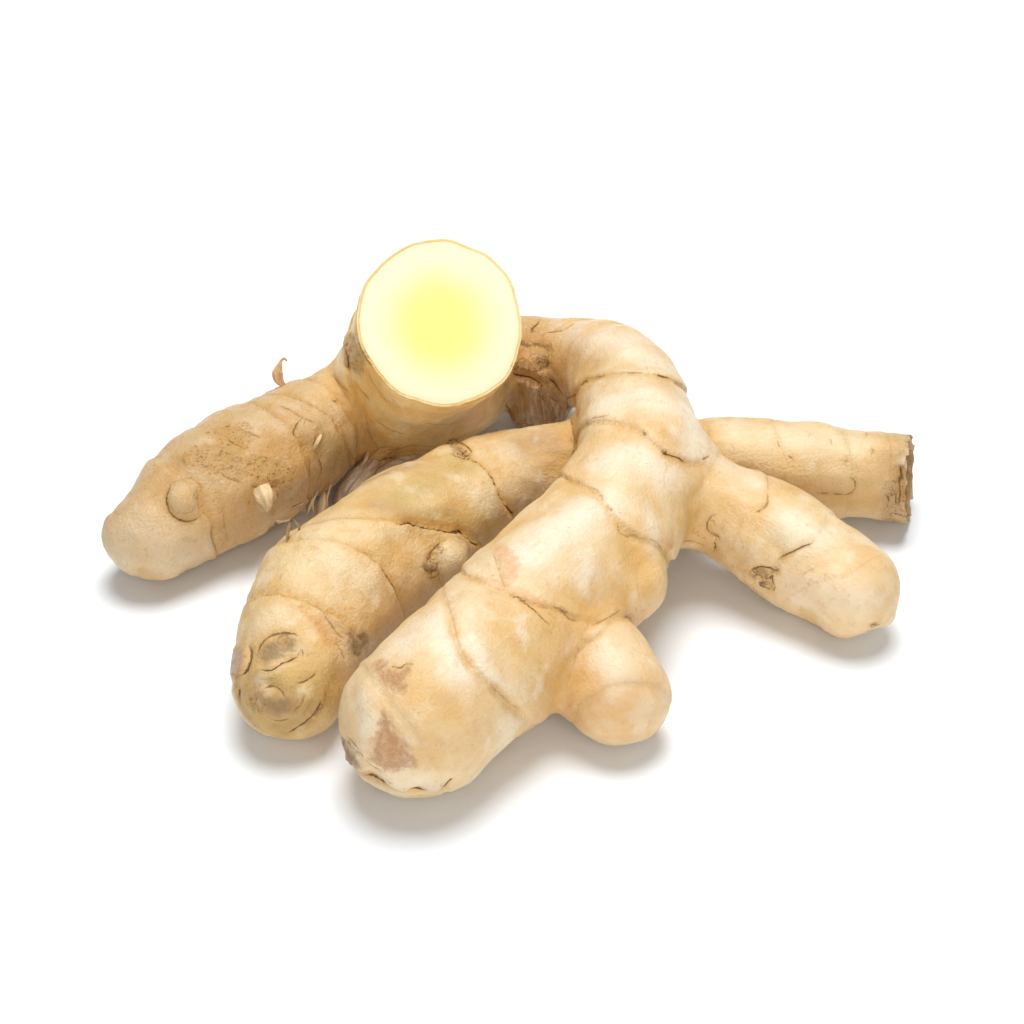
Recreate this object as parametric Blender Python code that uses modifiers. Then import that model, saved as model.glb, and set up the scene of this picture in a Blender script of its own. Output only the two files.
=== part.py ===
"""A hand of fresh white turmeric: one branched rhizome lying on a table, one of its knuckles cut across.

The whole hand grew as one piece, so it is one solid. Every finger follows a smooth axis through a few
stations, and its surface lies one radius from that axis. Fingers that grow out of each other are blended,
and leaf-scale scars ring them as low ledges. Tables are in millimetres, +Z is up, and the origin is the
middle of the footprint on the table.
"""

import math
from typing import NamedTuple

import bmesh
import bpy
import numpy as np
from mathutils import Matrix, Vector, noise

MM = 0.001

# Driving dimensions of the surface, in millimetres.
AXIS_STEP = 1.5
BEAD_SPACING = 3.0
VOXEL = 1.3
LUMP_HEIGHT = 1.1
LUMP_LENGTH = 16.0
DIMPLE_HEIGHT = 0.35
DIMPLE_LENGTH = 6.0
LEDGE_HEIGHT = 0.9
LEDGE_FADE = 4.5
GROOVE_DEPTH = 0.5
GROOVE_WIDTH = 1.1
SHARP_ANGLE = math.radians(40)
TRIANGLES = 11600

# Limits that keep the skin's arithmetic steady.
NEARLY_NOTHING = 1e-6
SHORTEST_WAY = 0.3
LONGEST_MOVE = 2.0

# Colours as linear RGB.
SKIN_COLOUR = (0.62, 0.42, 0.2, 1.0)
FLESH_COLOUR = (0.88, 0.85, 0.42, 1.0)

# Each finger: its stations as (x, y, height, radius), and its ring scars as (distance along the axis, lean with
# the way to the side, lean with the way to the top, share of the full ledge).
FINGERS = {
    "left_finger": {
        "stations": [
            (-73.0, 2.3, 10.1, 9.5),
            (-65.5, 10.5, 12.0, 12.0),
            (-56.5, 19.8, 12.6, 12.6),
            (-47.0, 29.5, 12.7, 11.8),
            (-39.5, 36.5, 13.0, 10.5),
            (-33.5, 42.0, 13.5, 10.3),
        ],
        "rings": [
            (-6.5, -0.2, 0.25, 0.5),
            (8.0, -0.1, 0.0, 0.7),
            (19.5, 0.1, 0.0, 0.5),
            (31.5, 0.0, 0.05, 1.0),
            (39.0, 0.5, -0.15, 1.0),
            (46.5, 0.1, 0.0, 0.8),
        ],
    },
    "knuckle": {
        "stations": [
            (-33.5, 42.0, 13.5, 10.3),
            (-26.0, 45.0, 15.0, 12.0),
            (-16.5, 49.0, 16.0, 12.5),
            (-5.0, 57.5, 14.5, 10.6),
            (5.5, 61.0, 14.0, 8.0),
        ],
        "rings": [],
    },
    "cut_knuckle": {
        "stations": [
            (-22.0, 48.5, 15.0, 14.0),
            (-19.8, 39.5, 28.5, 15.6),
            (-15.9, 30.2, 42.2, 16.8),
            (-12.9, 21.7, 54.2, 16.8),
        ],
        "rings": [
            (5.0, 0.7, 0.5, 1.0),
            (31.0, 0.0, 0.0, 0.6),
        ],
    },
    "front_finger": {
        "stations": [
            (5.5, 61.0, 14.0, 8.0),
            (15.0, 53.5, 18.0, 9.3),
            (21.7, 37.0, 23.0, 10.8),
            (23.7, 17.5, 25.0, 11.9),
            (23.3, 4.0, 24.0, 12.4),
            (18.5, -8.0, 21.0, 13.6),
            (11.0, -20.0, 18.0, 15.0),
            (1.5, -33.0, 16.5, 15.3),
            (-8.5, -46.5, 15.5, 15.2),
            (-18.0, -59.0, 14.4, 14.5),
        ],
        "rings": [
            (5.5, -0.5, 0.4, 0.5),
            (19.0, 0.0, 0.3, 0.5),
            (38.0, -0.2, 1.0, 1.0),
            (58.7, -0.4, 0.6, 1.1),
            (77.4, -0.4, 0.55, 1.1),
            (100.5, 0.05, 1.2, 1.3),
            (120.5, -0.7, 0.7, 1.1),
            (145.5, -0.4, 0.35, 0.5),
        ],
    },
    "right_finger": {
        "stations": [
            (28.0, 7.5, 20.0, 9.9),
            (39.5, 2.0, 17.0, 9.3),
            (47.5, -2.0, 14.5, 10.2),
            (56.0, -8.0, 11.8, 10.7),
            (64.2, -15.2, 9.5, 9.5),
        ],
        "rings": [
            (8.0, 0.1, 0.1, 0.8),
            (19.0, 0.3, 0.15, 1.0),
            (29.5, 0.05, 0.5, 1.0),
            (41.2, -0.3, 0.55, 0.6),
        ],
    },
    "thumb": {
        "stations": [
            (7.5, -36.5, 14.0, 9.6),
            (14.4, -41.2, 12.2, 9.6),
            (18.0, -47.6, 10.0, 9.5),
        ],
        "rings": [
            (6.0, 0.0, 0.2, 1.0),
            (19.2, -0.3, 0.1, 0.6),
        ],
    },
    "middle_finger": {
        "stations": [
            (-42.5, -45.2, 10.2, 10.2),
            (-40.5, -33.5, 12.5, 12.5),
            (-34.0, -19.5, 13.5, 13.8),
            (-24.5, -5.5, 13.3, 13.4),
            (-14.5, 6.5, 12.5, 12.3),
            (-2.0, 15.5, 12.0, 11.7),
            (10.5, 19.5, 12.0, 11.0),
            (24.5, 21.5, 12.0, 10.2),
            (41.0, 23.0, 12.0, 9.6),
            (57.5, 22.5, 11.5, 9.5),
            (81.5, 21.0, 10.0, 8.8),
        ],
        "rings": [
            (-3.0, 0.0, 0.1, 0.5),
            (10.4, -0.1, 0.0, 1.0),
            (24.9, 0.2, -0.1, 1.0),
            (44.4, 0.8, -0.95, 1.3),
            (67.6, 0.0, -0.15, 1.0),
            (92.0, 0.1, 0.0, 0.8),
            (117.0, 0.2, 0.0, 0.6),
            (132.8, 0.25, -0.25, 0.6),
            (144.0, 0.25, -0.1, 0.6),
            (153.5, 0.1, -0.1, 0.5),
        ],
    },
    "root_stub": {
        "stations": [
            (3.5, 55.0, 14.0, 7.3),
            (4.0, 55.5, 6.0, 6.9),
        ],
        "rings": [],
    },
}

# Buds and lumps on the skin: the finger, the middle of the ball, its radius, and its blend.
BUDS = {
    "left_bud": ("left_finger", (-66.5, 2.1, 18.7), 3.6, 0.8),
    "left_upper_bud": ("left_finger", (-44.0, 23.3, 19.6), 4.0, 1.0),
    "left_peg": ("left_finger", (-51.0, 7.3, 15.0), 2.2, 0.8),
    "middle_side_bud": ("middle_finger", (-15.5, -11.5, 14.5), 5.2, 1.6),
    "front_knob": ("front_finger", (21.0, -24.0, 18.3), 7.0, 3.0),
    "right_nub": ("right_finger", (70.3, -18.9, 6.3), 3.0, 1.5),
    "neck_lump": ("root_stub", (3.1, 52.5, 18.0), 3.6, 0.8),
    "root_lump_near": ("left_finger", (-30.5, 36.0, 6.0), 5.0, 2.0),
    "root_lump_far": ("knuckle", (-23.0, 38.0, 6.5), 5.0, 2.0),
}

# Which finger grows out of which, and how softly the skin rounds into the other.
JOINS = [
    ("left_finger", "knuckle", 2.0),
    ("knuckle", "cut_knuckle", 8.0),
    ("knuckle", "front_finger", 2.0),
    ("front_finger", "middle_finger", 3.5),
    ("front_finger", "right_finger", 7.0),
    ("front_finger", "thumb", 3.0),
    ("front_finger", "root_stub", 4.0),
]

# Flat cuts: a point on the cut, the way it faces, the side of the block that is taken away, and the finish
# it leaves.
SKIN, FLESH = 0, 1
FLAT_CUTS = {
    "fresh_cut": ((-15.9, 30.2, 42.2), (0.15, -0.67, 0.73), 40.0, FLESH),
    "dry_end": ((80.3, 21.0, 10.0), (1.0, -0.06, 0.05), 40.0, SKIN),
    "table": ((0.0, 0.0, 0.0), (0.0, 0.0, -1.0), 200.0, SKIN),
}


class Place(NamedTuple):
    """Where points lie beside an axis, all in millimetres."""

    distance: np.ndarray
    outward: np.ndarray
    along: np.ndarray
    reach: np.ndarray
    tangent: np.ndarray

    def side_and_top(self):
        """How far each point is to the finger's side and above its axis."""
        side = np.cross(self.tangent, (0, 0, 1))
        side /= np.maximum(np.linalg.norm(side, axis=1), NEARLY_NOTHING)[:, None]
        top = np.cross(side, self.tangent)
        offset = self.outward * self.distance[:, None]
        return (offset * side).sum(1), (offset * top).sum(1)


class Axis:
    """The smooth line through a finger's stations, sampled evenly, with its radius."""

    def __init__(self, stations):
        knots = np.array(stations, float)
        ends = np.vstack([2 * knots[0] - knots[1], knots, 2 * knots[-1] - knots[-2]])
        rows = []
        for before, start, end, after in zip(ends, ends[1:], ends[2:], ends[3:]):
            steps = max(2, round(np.linalg.norm((end - start)[:3]) / AXIS_STEP))
            for t in np.arange(steps) / steps:
                rows.append(catmull_rom(before, start, end, after, t))
        rows.append(knots[-1])
        rows = np.array(rows)
        self.points = rows[:, :3]
        self.radii = rows[:, 3]
        self.along = np.concatenate(
            [[0], np.cumsum(np.linalg.norm(np.diff(self.points, axis=0), axis=1))]
        )
        self.tangents = np.gradient(self.points, self.along, axis=0)
        self.tangents /= np.linalg.norm(self.tangents, axis=1)[:, None]

    def nearest(self, where):
        """Distance from the axis, the way out from it, and how far along, held at the ends and past them."""
        squares = (
            (where**2).sum(1)[:, None]
            - 2 * where @ self.points.T
            + (self.points**2).sum(1)[None, :]
        )
        index = squares.argmin(1)
        tangent = self.tangents[index]
        offset = where - self.points[index]
        slide = (offset * tangent).sum(1)
        first, last = index == 0, index == len(self.points) - 1
        past_ends = np.clip(
            slide, np.where(first, -np.inf, -AXIS_STEP), np.where(last, np.inf, AXIS_STEP)
        )
        held = np.clip(slide, np.where(first, 0.0, -AXIS_STEP), np.where(last, 0.0, AXIS_STEP))
        outward = offset - held[:, None] * tangent
        distance = np.maximum(np.linalg.norm(outward, axis=1), NEARLY_NOTHING)
        return Place(
            distance,
            outward / distance[:, None],
            self.along[index] + held,
            self.along[index] + past_ends,
            tangent,
        )


def catmull_rom(before, start, end, after, t):
    """A point on the smooth curve between start and end."""
    return 0.5 * (
        2 * start
        + (end - before) * t
        + (2 * before - 5 * start + 4 * end - after) * t**2
        + (3 * start - before - 3 * end + after) * t**3
    )


def ledges(place, rings):
    """Height of the leaf-scale ledges: the skin swells towards each ring and steps down behind it."""
    side, top = place.side_and_top()
    height = np.zeros(len(place.along))
    for ring, side_lean, top_lean, share in rings:
        past = place.reach - ring - side_lean * side - top_lean * top
        past /= math.hypot(1.0, side_lean, top_lean)
        height += share * LEDGE_HEIGHT * np.exp(-np.abs(past) / LEDGE_FADE) * (past < 0)
        height -= share * GROOVE_DEPTH * np.exp(-((past / GROOVE_WIDTH) ** 2))
    return height


def swelling_at(where):
    """Slow uneven swelling of the skin, with a finer one on top."""
    slow = np.array([noise.noise(Vector(p) / LUMP_LENGTH) for p in where])
    fine = np.array([noise.noise(Vector(p) / DIMPLE_LENGTH) for p in where])
    return slow * LUMP_HEIGHT + fine * DIMPLE_HEIGHT


def skin_distance(where, axes, swelling):
    """How far each point is outside the skin, and the way out."""
    fields = {}
    for name, axis in axes.items():
        place = axis.nearest(where)
        radius = np.interp(place.along, axis.along, axis.radii)
        radius = radius + ledges(place, FINGERS[name]["rings"])
        fields[name] = (place.distance - radius - swelling, place.outward)
    joins = list(JOINS)
    for name, (finger, middle, radius, blend) in BUDS.items():
        offset = where - np.array(middle)
        distance = np.maximum(np.linalg.norm(offset, axis=1), NEARLY_NOTHING)
        fields[name] = (distance - radius - swelling, offset / distance[:, None])
        joins.append((finger, name, blend))
    best = np.full(len(where), np.inf)
    way = np.zeros((len(where), 3))
    for one, other, blend in joins:
        (near, near_way), (far, far_way) = fields[one], fields[other]
        share = np.clip(0.5 + 0.5 * (far - near) / blend, 0, 1)
        joined = far + (near - far) * share - blend * share * (1 - share)
        joined_way = far_way * (1 - share)[:, None] + near_way * share[:, None]
        closer = joined < best
        best[closer] = joined[closer]
        way[closer] = joined_way[closer]
    lengths = np.maximum(np.linalg.norm(way, axis=1), SHORTEST_WAY)
    return best, way / lengths[:, None]


def add_ball(bm, middle, radius):
    """One ball of the rough body."""
    place = Matrix.Translation(Vector(middle) * MM)
    bmesh.ops.create_icosphere(bm, subdivisions=2, radius=radius * MM, matrix=place)


def bead_strings(axes):
    """Overlapping balls along every axis: the rough body that the remesh fuses into one."""
    bm = bmesh.new()
    every = round(BEAD_SPACING / AXIS_STEP)
    for axis in axes.values():
        last = len(axis.points) - 1
        for index in (*range(0, last, every), last):
            add_ball(bm, axis.points[index], float(axis.radii[index]))
    for _, middle, radius, _ in BUDS.values():
        add_ball(bm, middle, radius)
    mesh = bpy.data.meshes.new("beads")
    bm.to_mesh(mesh)
    bm.free()
    return mesh


def applied(obj):
    """The object's mesh with its modifiers applied."""
    graph = bpy.context.evaluated_depsgraph_get()
    mesh = bpy.data.meshes.new_from_object(obj.evaluated_get(graph))
    obj.modifiers.clear()
    obj.data = mesh
    return obj


def settle(obj, axes, rounds):
    """Moves every vertex onto the skin."""
    count = len(obj.data.vertices)
    where = np.empty(count * 3)
    obj.data.vertices.foreach_get("co", where)
    where = where.reshape(-1, 3) / MM
    swelling = swelling_at(where)
    for _ in range(rounds):
        gap, way = skin_distance(where, axes, swelling)
        where -= np.clip(gap, -LONGEST_MOVE, LONGEST_MOVE)[:, None] * way
    obj.data.vertices.foreach_set("co", (where * MM).ravel())
    obj.data.update()


def fused_body(collection):
    """The uncut hand as one closed mesh."""
    axes = {name: Axis(finger["stations"]) for name, finger in FINGERS.items()}
    body = bpy.data.objects.new("rhizome", bead_strings(axes))
    collection.objects.link(body)
    remesh = body.modifiers.new("fuse", "REMESH")
    remesh.mode = "VOXEL"
    remesh.voxel_size = VOXEL * MM
    applied(body)
    settle(body, axes, rounds=4)
    relax = body.modifiers.new("relax", "SMOOTH")
    relax.factor = 0.5
    relax.iterations = 3
    applied(body)
    settle(body, axes, rounds=3)
    triangles = sum(len(p.vertices) - 2 for p in body.data.polygons)
    fewer = body.modifiers.new("fewer_faces", "DECIMATE")
    fewer.ratio = TRIANGLES / triangles
    applied(body)
    return body


def cutting_block(name, point, facing, side, finish, collection):
    """A block that takes away what is on the facing side of a plane, and leaves its finish on the cut."""
    bm = bmesh.new()
    bmesh.ops.create_cube(bm, size=side * MM)
    bmesh.ops.translate(bm, vec=Vector((0, 0, side / 2)) * MM, verts=bm.verts)
    turn = Vector((0, 0, 1)).rotation_difference(Vector(facing).normalized())
    place = Matrix.Translation(Vector(point) * MM) @ turn.to_matrix().to_4x4()
    bmesh.ops.transform(bm, matrix=place, verts=bm.verts)
    for face in bm.faces:
        face.material_index = finish
    mesh = bpy.data.meshes.new(name)
    bm.to_mesh(mesh)
    bm.free()
    block = bpy.data.objects.new(name, mesh)
    block.hide_render = True
    block.display_type = "WIRE"
    collection.objects.link(block)
    return block


def stand_on_origin(obj):
    """Moves the mesh so that the middle of its footprint is at the origin and its lowest point at 0."""
    corners = np.empty(len(obj.data.vertices) * 3)
    obj.data.vertices.foreach_get("co", corners)
    corners = corners.reshape(-1, 3)
    low, high = corners.min(0), corners.max(0)
    middle = (low + high) / 2
    obj.data.transform(Matrix.Translation((-middle[0], -middle[1], -low[2])))


def finish_material(name, colour, roughness):
    """A plain Principled material."""
    material = bpy.data.materials.new(name)
    material.use_nodes = True
    shader = material.node_tree.nodes["Principled BSDF"]
    shader.inputs["Base Color"].default_value = colour
    shader.inputs["Roughness"].default_value = roughness
    shader.inputs["Metallic"].default_value = 0.0
    return material


def main():
    for obj in list(bpy.data.objects):
        bpy.data.objects.remove(obj)
    parts = bpy.data.collections.new("white_turmeric")
    cutters = bpy.data.collections.new("cutters")
    bpy.context.scene.collection.children.link(parts)
    bpy.context.scene.collection.children.link(cutters)

    body = fused_body(parts)
    body.data.materials.append(finish_material("skin", SKIN_COLOUR, 0.55))
    body.data.materials.append(finish_material("flesh", FLESH_COLOUR, 0.4))
    for name, (point, facing, side, finish) in FLAT_CUTS.items():
        cut = body.modifiers.new(name, "BOOLEAN")
        cut.operation = "DIFFERENCE"
        cut.object = cutting_block(name, point, facing, side, finish, cutters)
    applied(body)
    stand_on_origin(body)
    body.data.shade_smooth()
    body.data.set_sharp_from_angle(angle=SHARP_ANGLE)


main()
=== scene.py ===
"""A hand of fresh white turmeric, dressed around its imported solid.

The skin is grown along the same finger axes as the solid, as a much finer mesh: ring scars, creases, buds,
scabs and pores are real relief, and what colours them rides on the mesh as attributes in millimetres. The
fresh cut, the root curls and the scraps of dry scale are pieces of their own.

Tables are in millimetres in the hand's own frame, +Z up, with the table at 0. Points of the picture are
pixels of its 1024 by 1024 frame, and each is laid on the skin along the camera's line of sight.
"""

import logging
import math
from dataclasses import dataclass
from enum import Enum
from functools import cached_property
from typing import NamedTuple

import bmesh
import bpy
import numpy as np
from mathutils import Matrix, Vector, noise
from mathutils.bvhtree import BVHTree
from mathutils.kdtree import KDTree


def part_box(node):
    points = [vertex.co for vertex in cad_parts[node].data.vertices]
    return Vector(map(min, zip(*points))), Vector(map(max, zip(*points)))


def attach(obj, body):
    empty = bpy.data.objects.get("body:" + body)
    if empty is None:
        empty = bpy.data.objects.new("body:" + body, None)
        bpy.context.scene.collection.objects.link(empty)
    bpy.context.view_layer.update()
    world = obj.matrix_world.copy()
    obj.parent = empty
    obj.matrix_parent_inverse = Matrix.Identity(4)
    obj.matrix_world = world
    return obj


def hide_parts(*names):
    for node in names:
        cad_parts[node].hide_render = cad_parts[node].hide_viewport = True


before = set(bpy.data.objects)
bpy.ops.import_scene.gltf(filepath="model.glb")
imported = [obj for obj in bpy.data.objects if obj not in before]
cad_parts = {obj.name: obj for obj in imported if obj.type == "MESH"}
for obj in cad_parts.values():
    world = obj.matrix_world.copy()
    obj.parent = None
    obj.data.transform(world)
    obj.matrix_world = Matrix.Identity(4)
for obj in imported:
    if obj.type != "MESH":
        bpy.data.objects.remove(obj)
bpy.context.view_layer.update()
LOG = logging.getLogger("turmeric")
MM = 0.001
OVER_TABLE = 0.0001

Spot = tuple[float, float]
Trail = tuple[Spot, ...]
Point = tuple[float, float, float]
Station = tuple[float, float, float, float]
Colour = tuple[float, float, float]

# Driving dimensions of the skin, in millimetres, as in the solid's own source.
AXIS_STEP = 1.5
BEAD_SPACING = 3.0
LUMP_HEIGHT = 1.1
LUMP_LENGTH = 16.0
DIMPLE_HEIGHT = 0.35
DIMPLE_LENGTH = 6.0
LEDGE_HEIGHT = 0.52
LEDGE_FADE = 4.5
GROOVE_DEPTH = 0.35
GROOVE_WIDTH = 0.7
NEARLY_NOTHING = 1e-6
SHORTEST_WAY = 0.3
LONGEST_MOVE = 2.0

# The fine skin's own dimensions, in millimetres, except for the angles of a ring line, in radians.
FINE_VOXEL = 0.76
LEDGE_STEP = 0.35
RING_WAVES = ((2, 0.45), (3, 0.3), (7, 0.16), (13, 0.08))
RING_REACH = 7.0
RING_BLEND = 0.22
RING_HOLD = 0.15
FAR_GAP = 3.0
PIXEL = 0.2
STROKE_STEP = 8.0
HIDDEN_BY = 2.0
EVERY_WAY = ("use_axis_x", "use_axis_y", "use_axis_z")
CUT_ANGLE = math.radians(50)
STRAND_ANGLE = math.radians(60)


@dataclass(frozen=True)
class Ring:
    """A leaf-scale scar round a finger.

    The line lies at a distance along the axis and leans with the way to the side and to the top. Where the
    picture shows it, the line is drawn to the seen points.
    """

    along: float
    side_lean: float = 0.0
    top_lean: float = 0.0
    seen: Trail = ()
    mark: float = 0.5
    height: float = 1.0


@dataclass(frozen=True)
class Finger:
    """One branch of the hand: the stations of its axis as (x, y, height, radius), and its ring scars."""

    name: str
    stations: tuple[Station, ...]
    rings: tuple[Ring, ...] = ()
    tint: Colour = (1.0, 1.0, 1.0)
    ridges: float = 0.5
    bumps: float = 0.1


@dataclass(frozen=True)
class Bud:
    """A bud or lump on a finger: a ball blended into the skin."""

    name: str
    finger: str
    middle: Point
    radius: float
    blend: float
    mark: float = 0.5


class Tone(Enum):
    """A soft tone on the skin: partly its own colour, partly painted highlight and painted shade."""

    # Mostly painted highlight on the tops of the fingers, partly lighter skin.
    PALE = "pale"
    # Partly the skin's own ochre, partly painted shade in hollows and on undersides.
    TAN = "tan"
    OLIVE = "olive"
    # Partly brown skin, partly painted shade in the gap under the knuckle and behind the cut.
    BROWN = "brown"


@dataclass(frozen=True)
class Blush:
    """A soft tone along a stroke of the picture, with its reach in millimetres and its strength."""

    seen: Trail
    reach: float
    strength: float = 0.7


@dataclass(frozen=True)
class Swell:
    """A soft hump or hollow along a stroke of the picture, with its reach and height in millimetres."""

    seen: Trail
    reach: float
    height: float


@dataclass(frozen=True)
class Scar:
    """A round root scar: where it is in the picture, its radius in millimetres, and its darkness."""

    seen: Spot
    radius: float
    mark: float = 0.6


class Kind(Enum):
    """What a patch of the skin is."""

    STAIN = "stain"
    ORANGE = "orange"
    GREY = "grey"
    SCAB = "scab"
    WARTS = "warts"
    FLAKE = "flake"
    SPECKS = "specks"


@dataclass(frozen=True)
class Crease:
    """A line in the skin as the picture shows it: its darkness, and its depth and width in millimetres."""

    # The darkest lines along folds and gaps are partly painted shade, the rest real scar lines.
    seen: Trail
    mark: float = 0.6
    depth: float = 0.25
    width: float = 0.5


FINGERS = (
    Finger(
        "left_finger",
        stations=(
            (-73.0, 2.3, 10.1, 9.5),
            (-65.5, 10.5, 12.0, 12.0),
            (-56.5, 19.8, 12.6, 12.6),
            (-47.0, 29.5, 12.7, 11.8),
            (-39.5, 36.5, 13.0, 10.5),
            (-33.5, 42.0, 13.5, 10.3),
        ),
        rings=(
            Ring(-6.5, -0.2, 0.25, mark=0.2, height=0.5),
            Ring(8.0, -0.1, 0.0, seen=((212, 523), (213, 538), (218, 554)), mark=0.3, height=0.7),
            Ring(19.5, 0.1, 0.0, mark=0.15, height=0.5),
            Ring(31.5, 0.0, 0.05, seen=((308, 468), (310, 489), (308, 505)), mark=0.3),
            Ring(39.0, 0.5, -0.15, seen=((271, 395), (288, 395), (303, 401), (322, 410)), mark=0.35),
            Ring(46.5, 0.1, 0.0, mark=0.25, height=0.8),
        ),
        tint=(0.87, 0.79, 0.67),
        ridges=0.7,
        bumps=0.2,
    ),
    Finger(
        "knuckle",
        stations=(
            (-33.5, 42.0, 13.5, 10.3),
            (-26.0, 45.0, 15.0, 12.0),
            (-16.5, 49.0, 16.0, 12.5),
            (-5.0, 57.5, 14.5, 10.6),
            (5.5, 61.0, 14.0, 8.0),
        ),
        tint=(0.9, 0.84, 0.76),
        ridges=0.8,
        bumps=0.2,
    ),
    Finger(
        "cut_knuckle",
        stations=(
            (-22.0, 48.5, 15.0, 14.0),
            (-19.8, 39.5, 28.5, 15.6),
            (-15.9, 30.2, 42.2, 16.8),
            (-12.9, 21.7, 54.2, 16.8),
        ),
        rings=(
            Ring(5.0, 0.7, 0.5, mark=0.35),
            Ring(31.0, seen=((357, 342), (365, 355), (374, 368)), mark=0.3, height=0.6),
        ),
        # Above 1: painted bounce light that lightens and yellows the cut knuckle, for its shaded underside.
        tint=(1.12, 1.08, 0.84),
        ridges=0.8,
        bumps=0.06,
    ),
    Finger(
        "front_finger",
        stations=(
            (5.5, 61.0, 14.0, 8.0),
            (15.0, 53.5, 18.0, 9.3),
            (21.7, 37.0, 23.0, 10.8),
            (23.7, 17.5, 25.0, 11.9),
            (23.3, 4.0, 24.0, 12.4),
            (18.5, -8.0, 21.0, 13.6),
            (11.0, -20.0, 18.0, 15.0),
            (1.5, -33.0, 16.5, 15.3),
            (-8.5, -46.5, 15.5, 15.2),
            (-18.0, -59.0, 14.4, 14.5),
        ),
        rings=(
            Ring(5.5, -0.5, 0.4, mark=0.3, height=0.5),
            Ring(19.0, 0.0, 0.3, mark=0.2, height=0.5),
            Ring(38.0, -0.2, 1.0, mark=0.35, seen=(
                (580, 386), (582, 382), (591, 377), (604, 375), (629, 373), (648, 373), (662, 376),
                (676, 382), (689, 386),
            )),
            Ring(58.7, -0.4, 0.6, mark=0.3, height=1.1, seen=(
                (637, 429), (648, 435), (656, 445), (665, 453), (676, 457), (689, 462), (703, 460),
            )),
            Ring(77.4, -0.4, 0.55, mark=0.2, height=1.1, seen=(
                (582, 486), (593, 488), (604, 499), (610, 507), (618, 521), (629, 532), (643, 536),
                (656, 542), (665, 550),
            )),
            Ring(100.5, 0.05, 1.2, mark=0.3, height=0.9, seen=(
                (504, 590), (517, 598), (530, 606), (549, 604), (563, 609), (580, 621), (588, 626),
                (610, 617), (623, 609),
            )),
            Ring(120.5, -0.7, 0.7, mark=0.15, height=0.55, seen=(
                (445, 599), (451, 614), (456, 634), (464, 655), (475, 670), (491, 678), (503, 693),
                (513, 706), (524, 712),
            )),
            Ring(145.5, -0.4, 0.35, mark=0.1, height=0.5),
        ),
        tint=(1.0, 1.0, 1.0),
        ridges=0.3,
    ),
    Finger(
        "right_finger",
        stations=(
            (28.0, 7.5, 20.0, 9.9),
            (39.5, 2.0, 17.0, 9.3),
            (47.5, -2.0, 14.5, 10.2),
            (56.0, -8.0, 11.8, 10.7),
            (64.2, -15.2, 9.5, 9.5),
        ),
        rings=(
            Ring(8.0, 0.1, 0.1, mark=0.15, height=0.3),
            Ring(19.0, 0.3, 0.15, mark=0.2, height=0.25, seen=(
                (766, 472), (768, 488), (766, 505), (755, 512),
            )),
            Ring(29.5, 0.05, 0.5, mark=0.2, height=0.3, seen=(
                (774, 562), (788, 554), (802, 547), (815, 542), (824, 527), (828, 513),
            )),
            Ring(41.2, -0.3, 0.55, mark=0.15, height=0.15, seen=(
                (796, 593), (813, 582), (829, 578), (840, 578),
            )),
        ),
        tint=(1.0, 0.99, 0.97),
        ridges=0.4,
    ),
    Finger(
        "thumb",
        stations=((7.5, -36.5, 14.0, 9.6), (14.4, -41.2, 12.2, 9.6), (18.0, -47.6, 10.0, 9.5)),
        rings=(Ring(6.0, 0.0, 0.2, mark=0.25), Ring(19.2, -0.3, 0.1, mark=0.2, height=0.6)),
        tint=(0.97, 0.92, 0.87),
        ridges=0.3,
    ),
    Finger(
        "middle_finger",
        stations=(
            (-42.5, -45.2, 10.2, 10.2),
            (-40.5, -33.5, 12.5, 12.5),
            (-34.0, -19.5, 13.5, 13.8),
            (-24.5, -5.5, 13.3, 13.4),
            (-14.5, 6.5, 12.5, 12.3),
            (-2.0, 15.5, 12.0, 11.7),
            (10.5, 19.5, 12.0, 11.0),
            (24.5, 21.5, 12.0, 10.2),
            (41.0, 23.0, 12.0, 9.6),
            (57.5, 22.5, 11.5, 9.5),
            (81.5, 21.0, 10.0, 8.8),
        ),
        rings=(
            Ring(-3.0, 0.0, 0.1, mark=0.3, height=0.5),
            Ring(10.4, -0.1, 0.0, mark=0.4, seen=(
                (246, 604), (253, 599), (263, 596), (281, 596), (297, 599), (309, 602), (322, 610),
            )),
            Ring(24.9, 0.2, -0.1, mark=0.5, seen=(
                (354, 550), (368, 555), (380, 563), (387, 573), (394, 583), (399, 594), (402, 602),
            )),
            Ring(44.4, 0.8, -0.95, mark=0.6, height=1.3, seen=(
                (395, 522), (409, 522), (424, 525), (437, 528), (451, 530), (462, 532), (471, 539),
                (480, 548),
            )),
            Ring(67.6, 0.0, -0.15, mark=0.5, seen=(
                (457, 446), (471, 458), (483, 467), (491, 477), (496, 489), (501, 499), (508, 508),
                (516, 517),
            )),
            Ring(92.0, 0.1, 0.0, mark=0.2, height=0.8),
            Ring(117.0, 0.2, 0.0, mark=0.2, height=0.4),
            Ring(132.8, 0.25, -0.25, mark=0.25, height=0.4),
            Ring(144.0, 0.25, -0.1, mark=0.25, height=0.35),
            Ring(153.5, 0.1, -0.1, mark=0.2, height=0.3),
        ),
        tint=(0.99, 0.96, 0.86),
        ridges=0.6,
        bumps=0.14,
    ),
    Finger(
        "root_stub",
        stations=((3.5, 55.0, 14.0, 7.3), (4.0, 55.5, 6.0, 6.9)),
        tint=(0.84, 0.75, 0.66),
        ridges=2.5,
        bumps=0.3,
    ),
)

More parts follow.
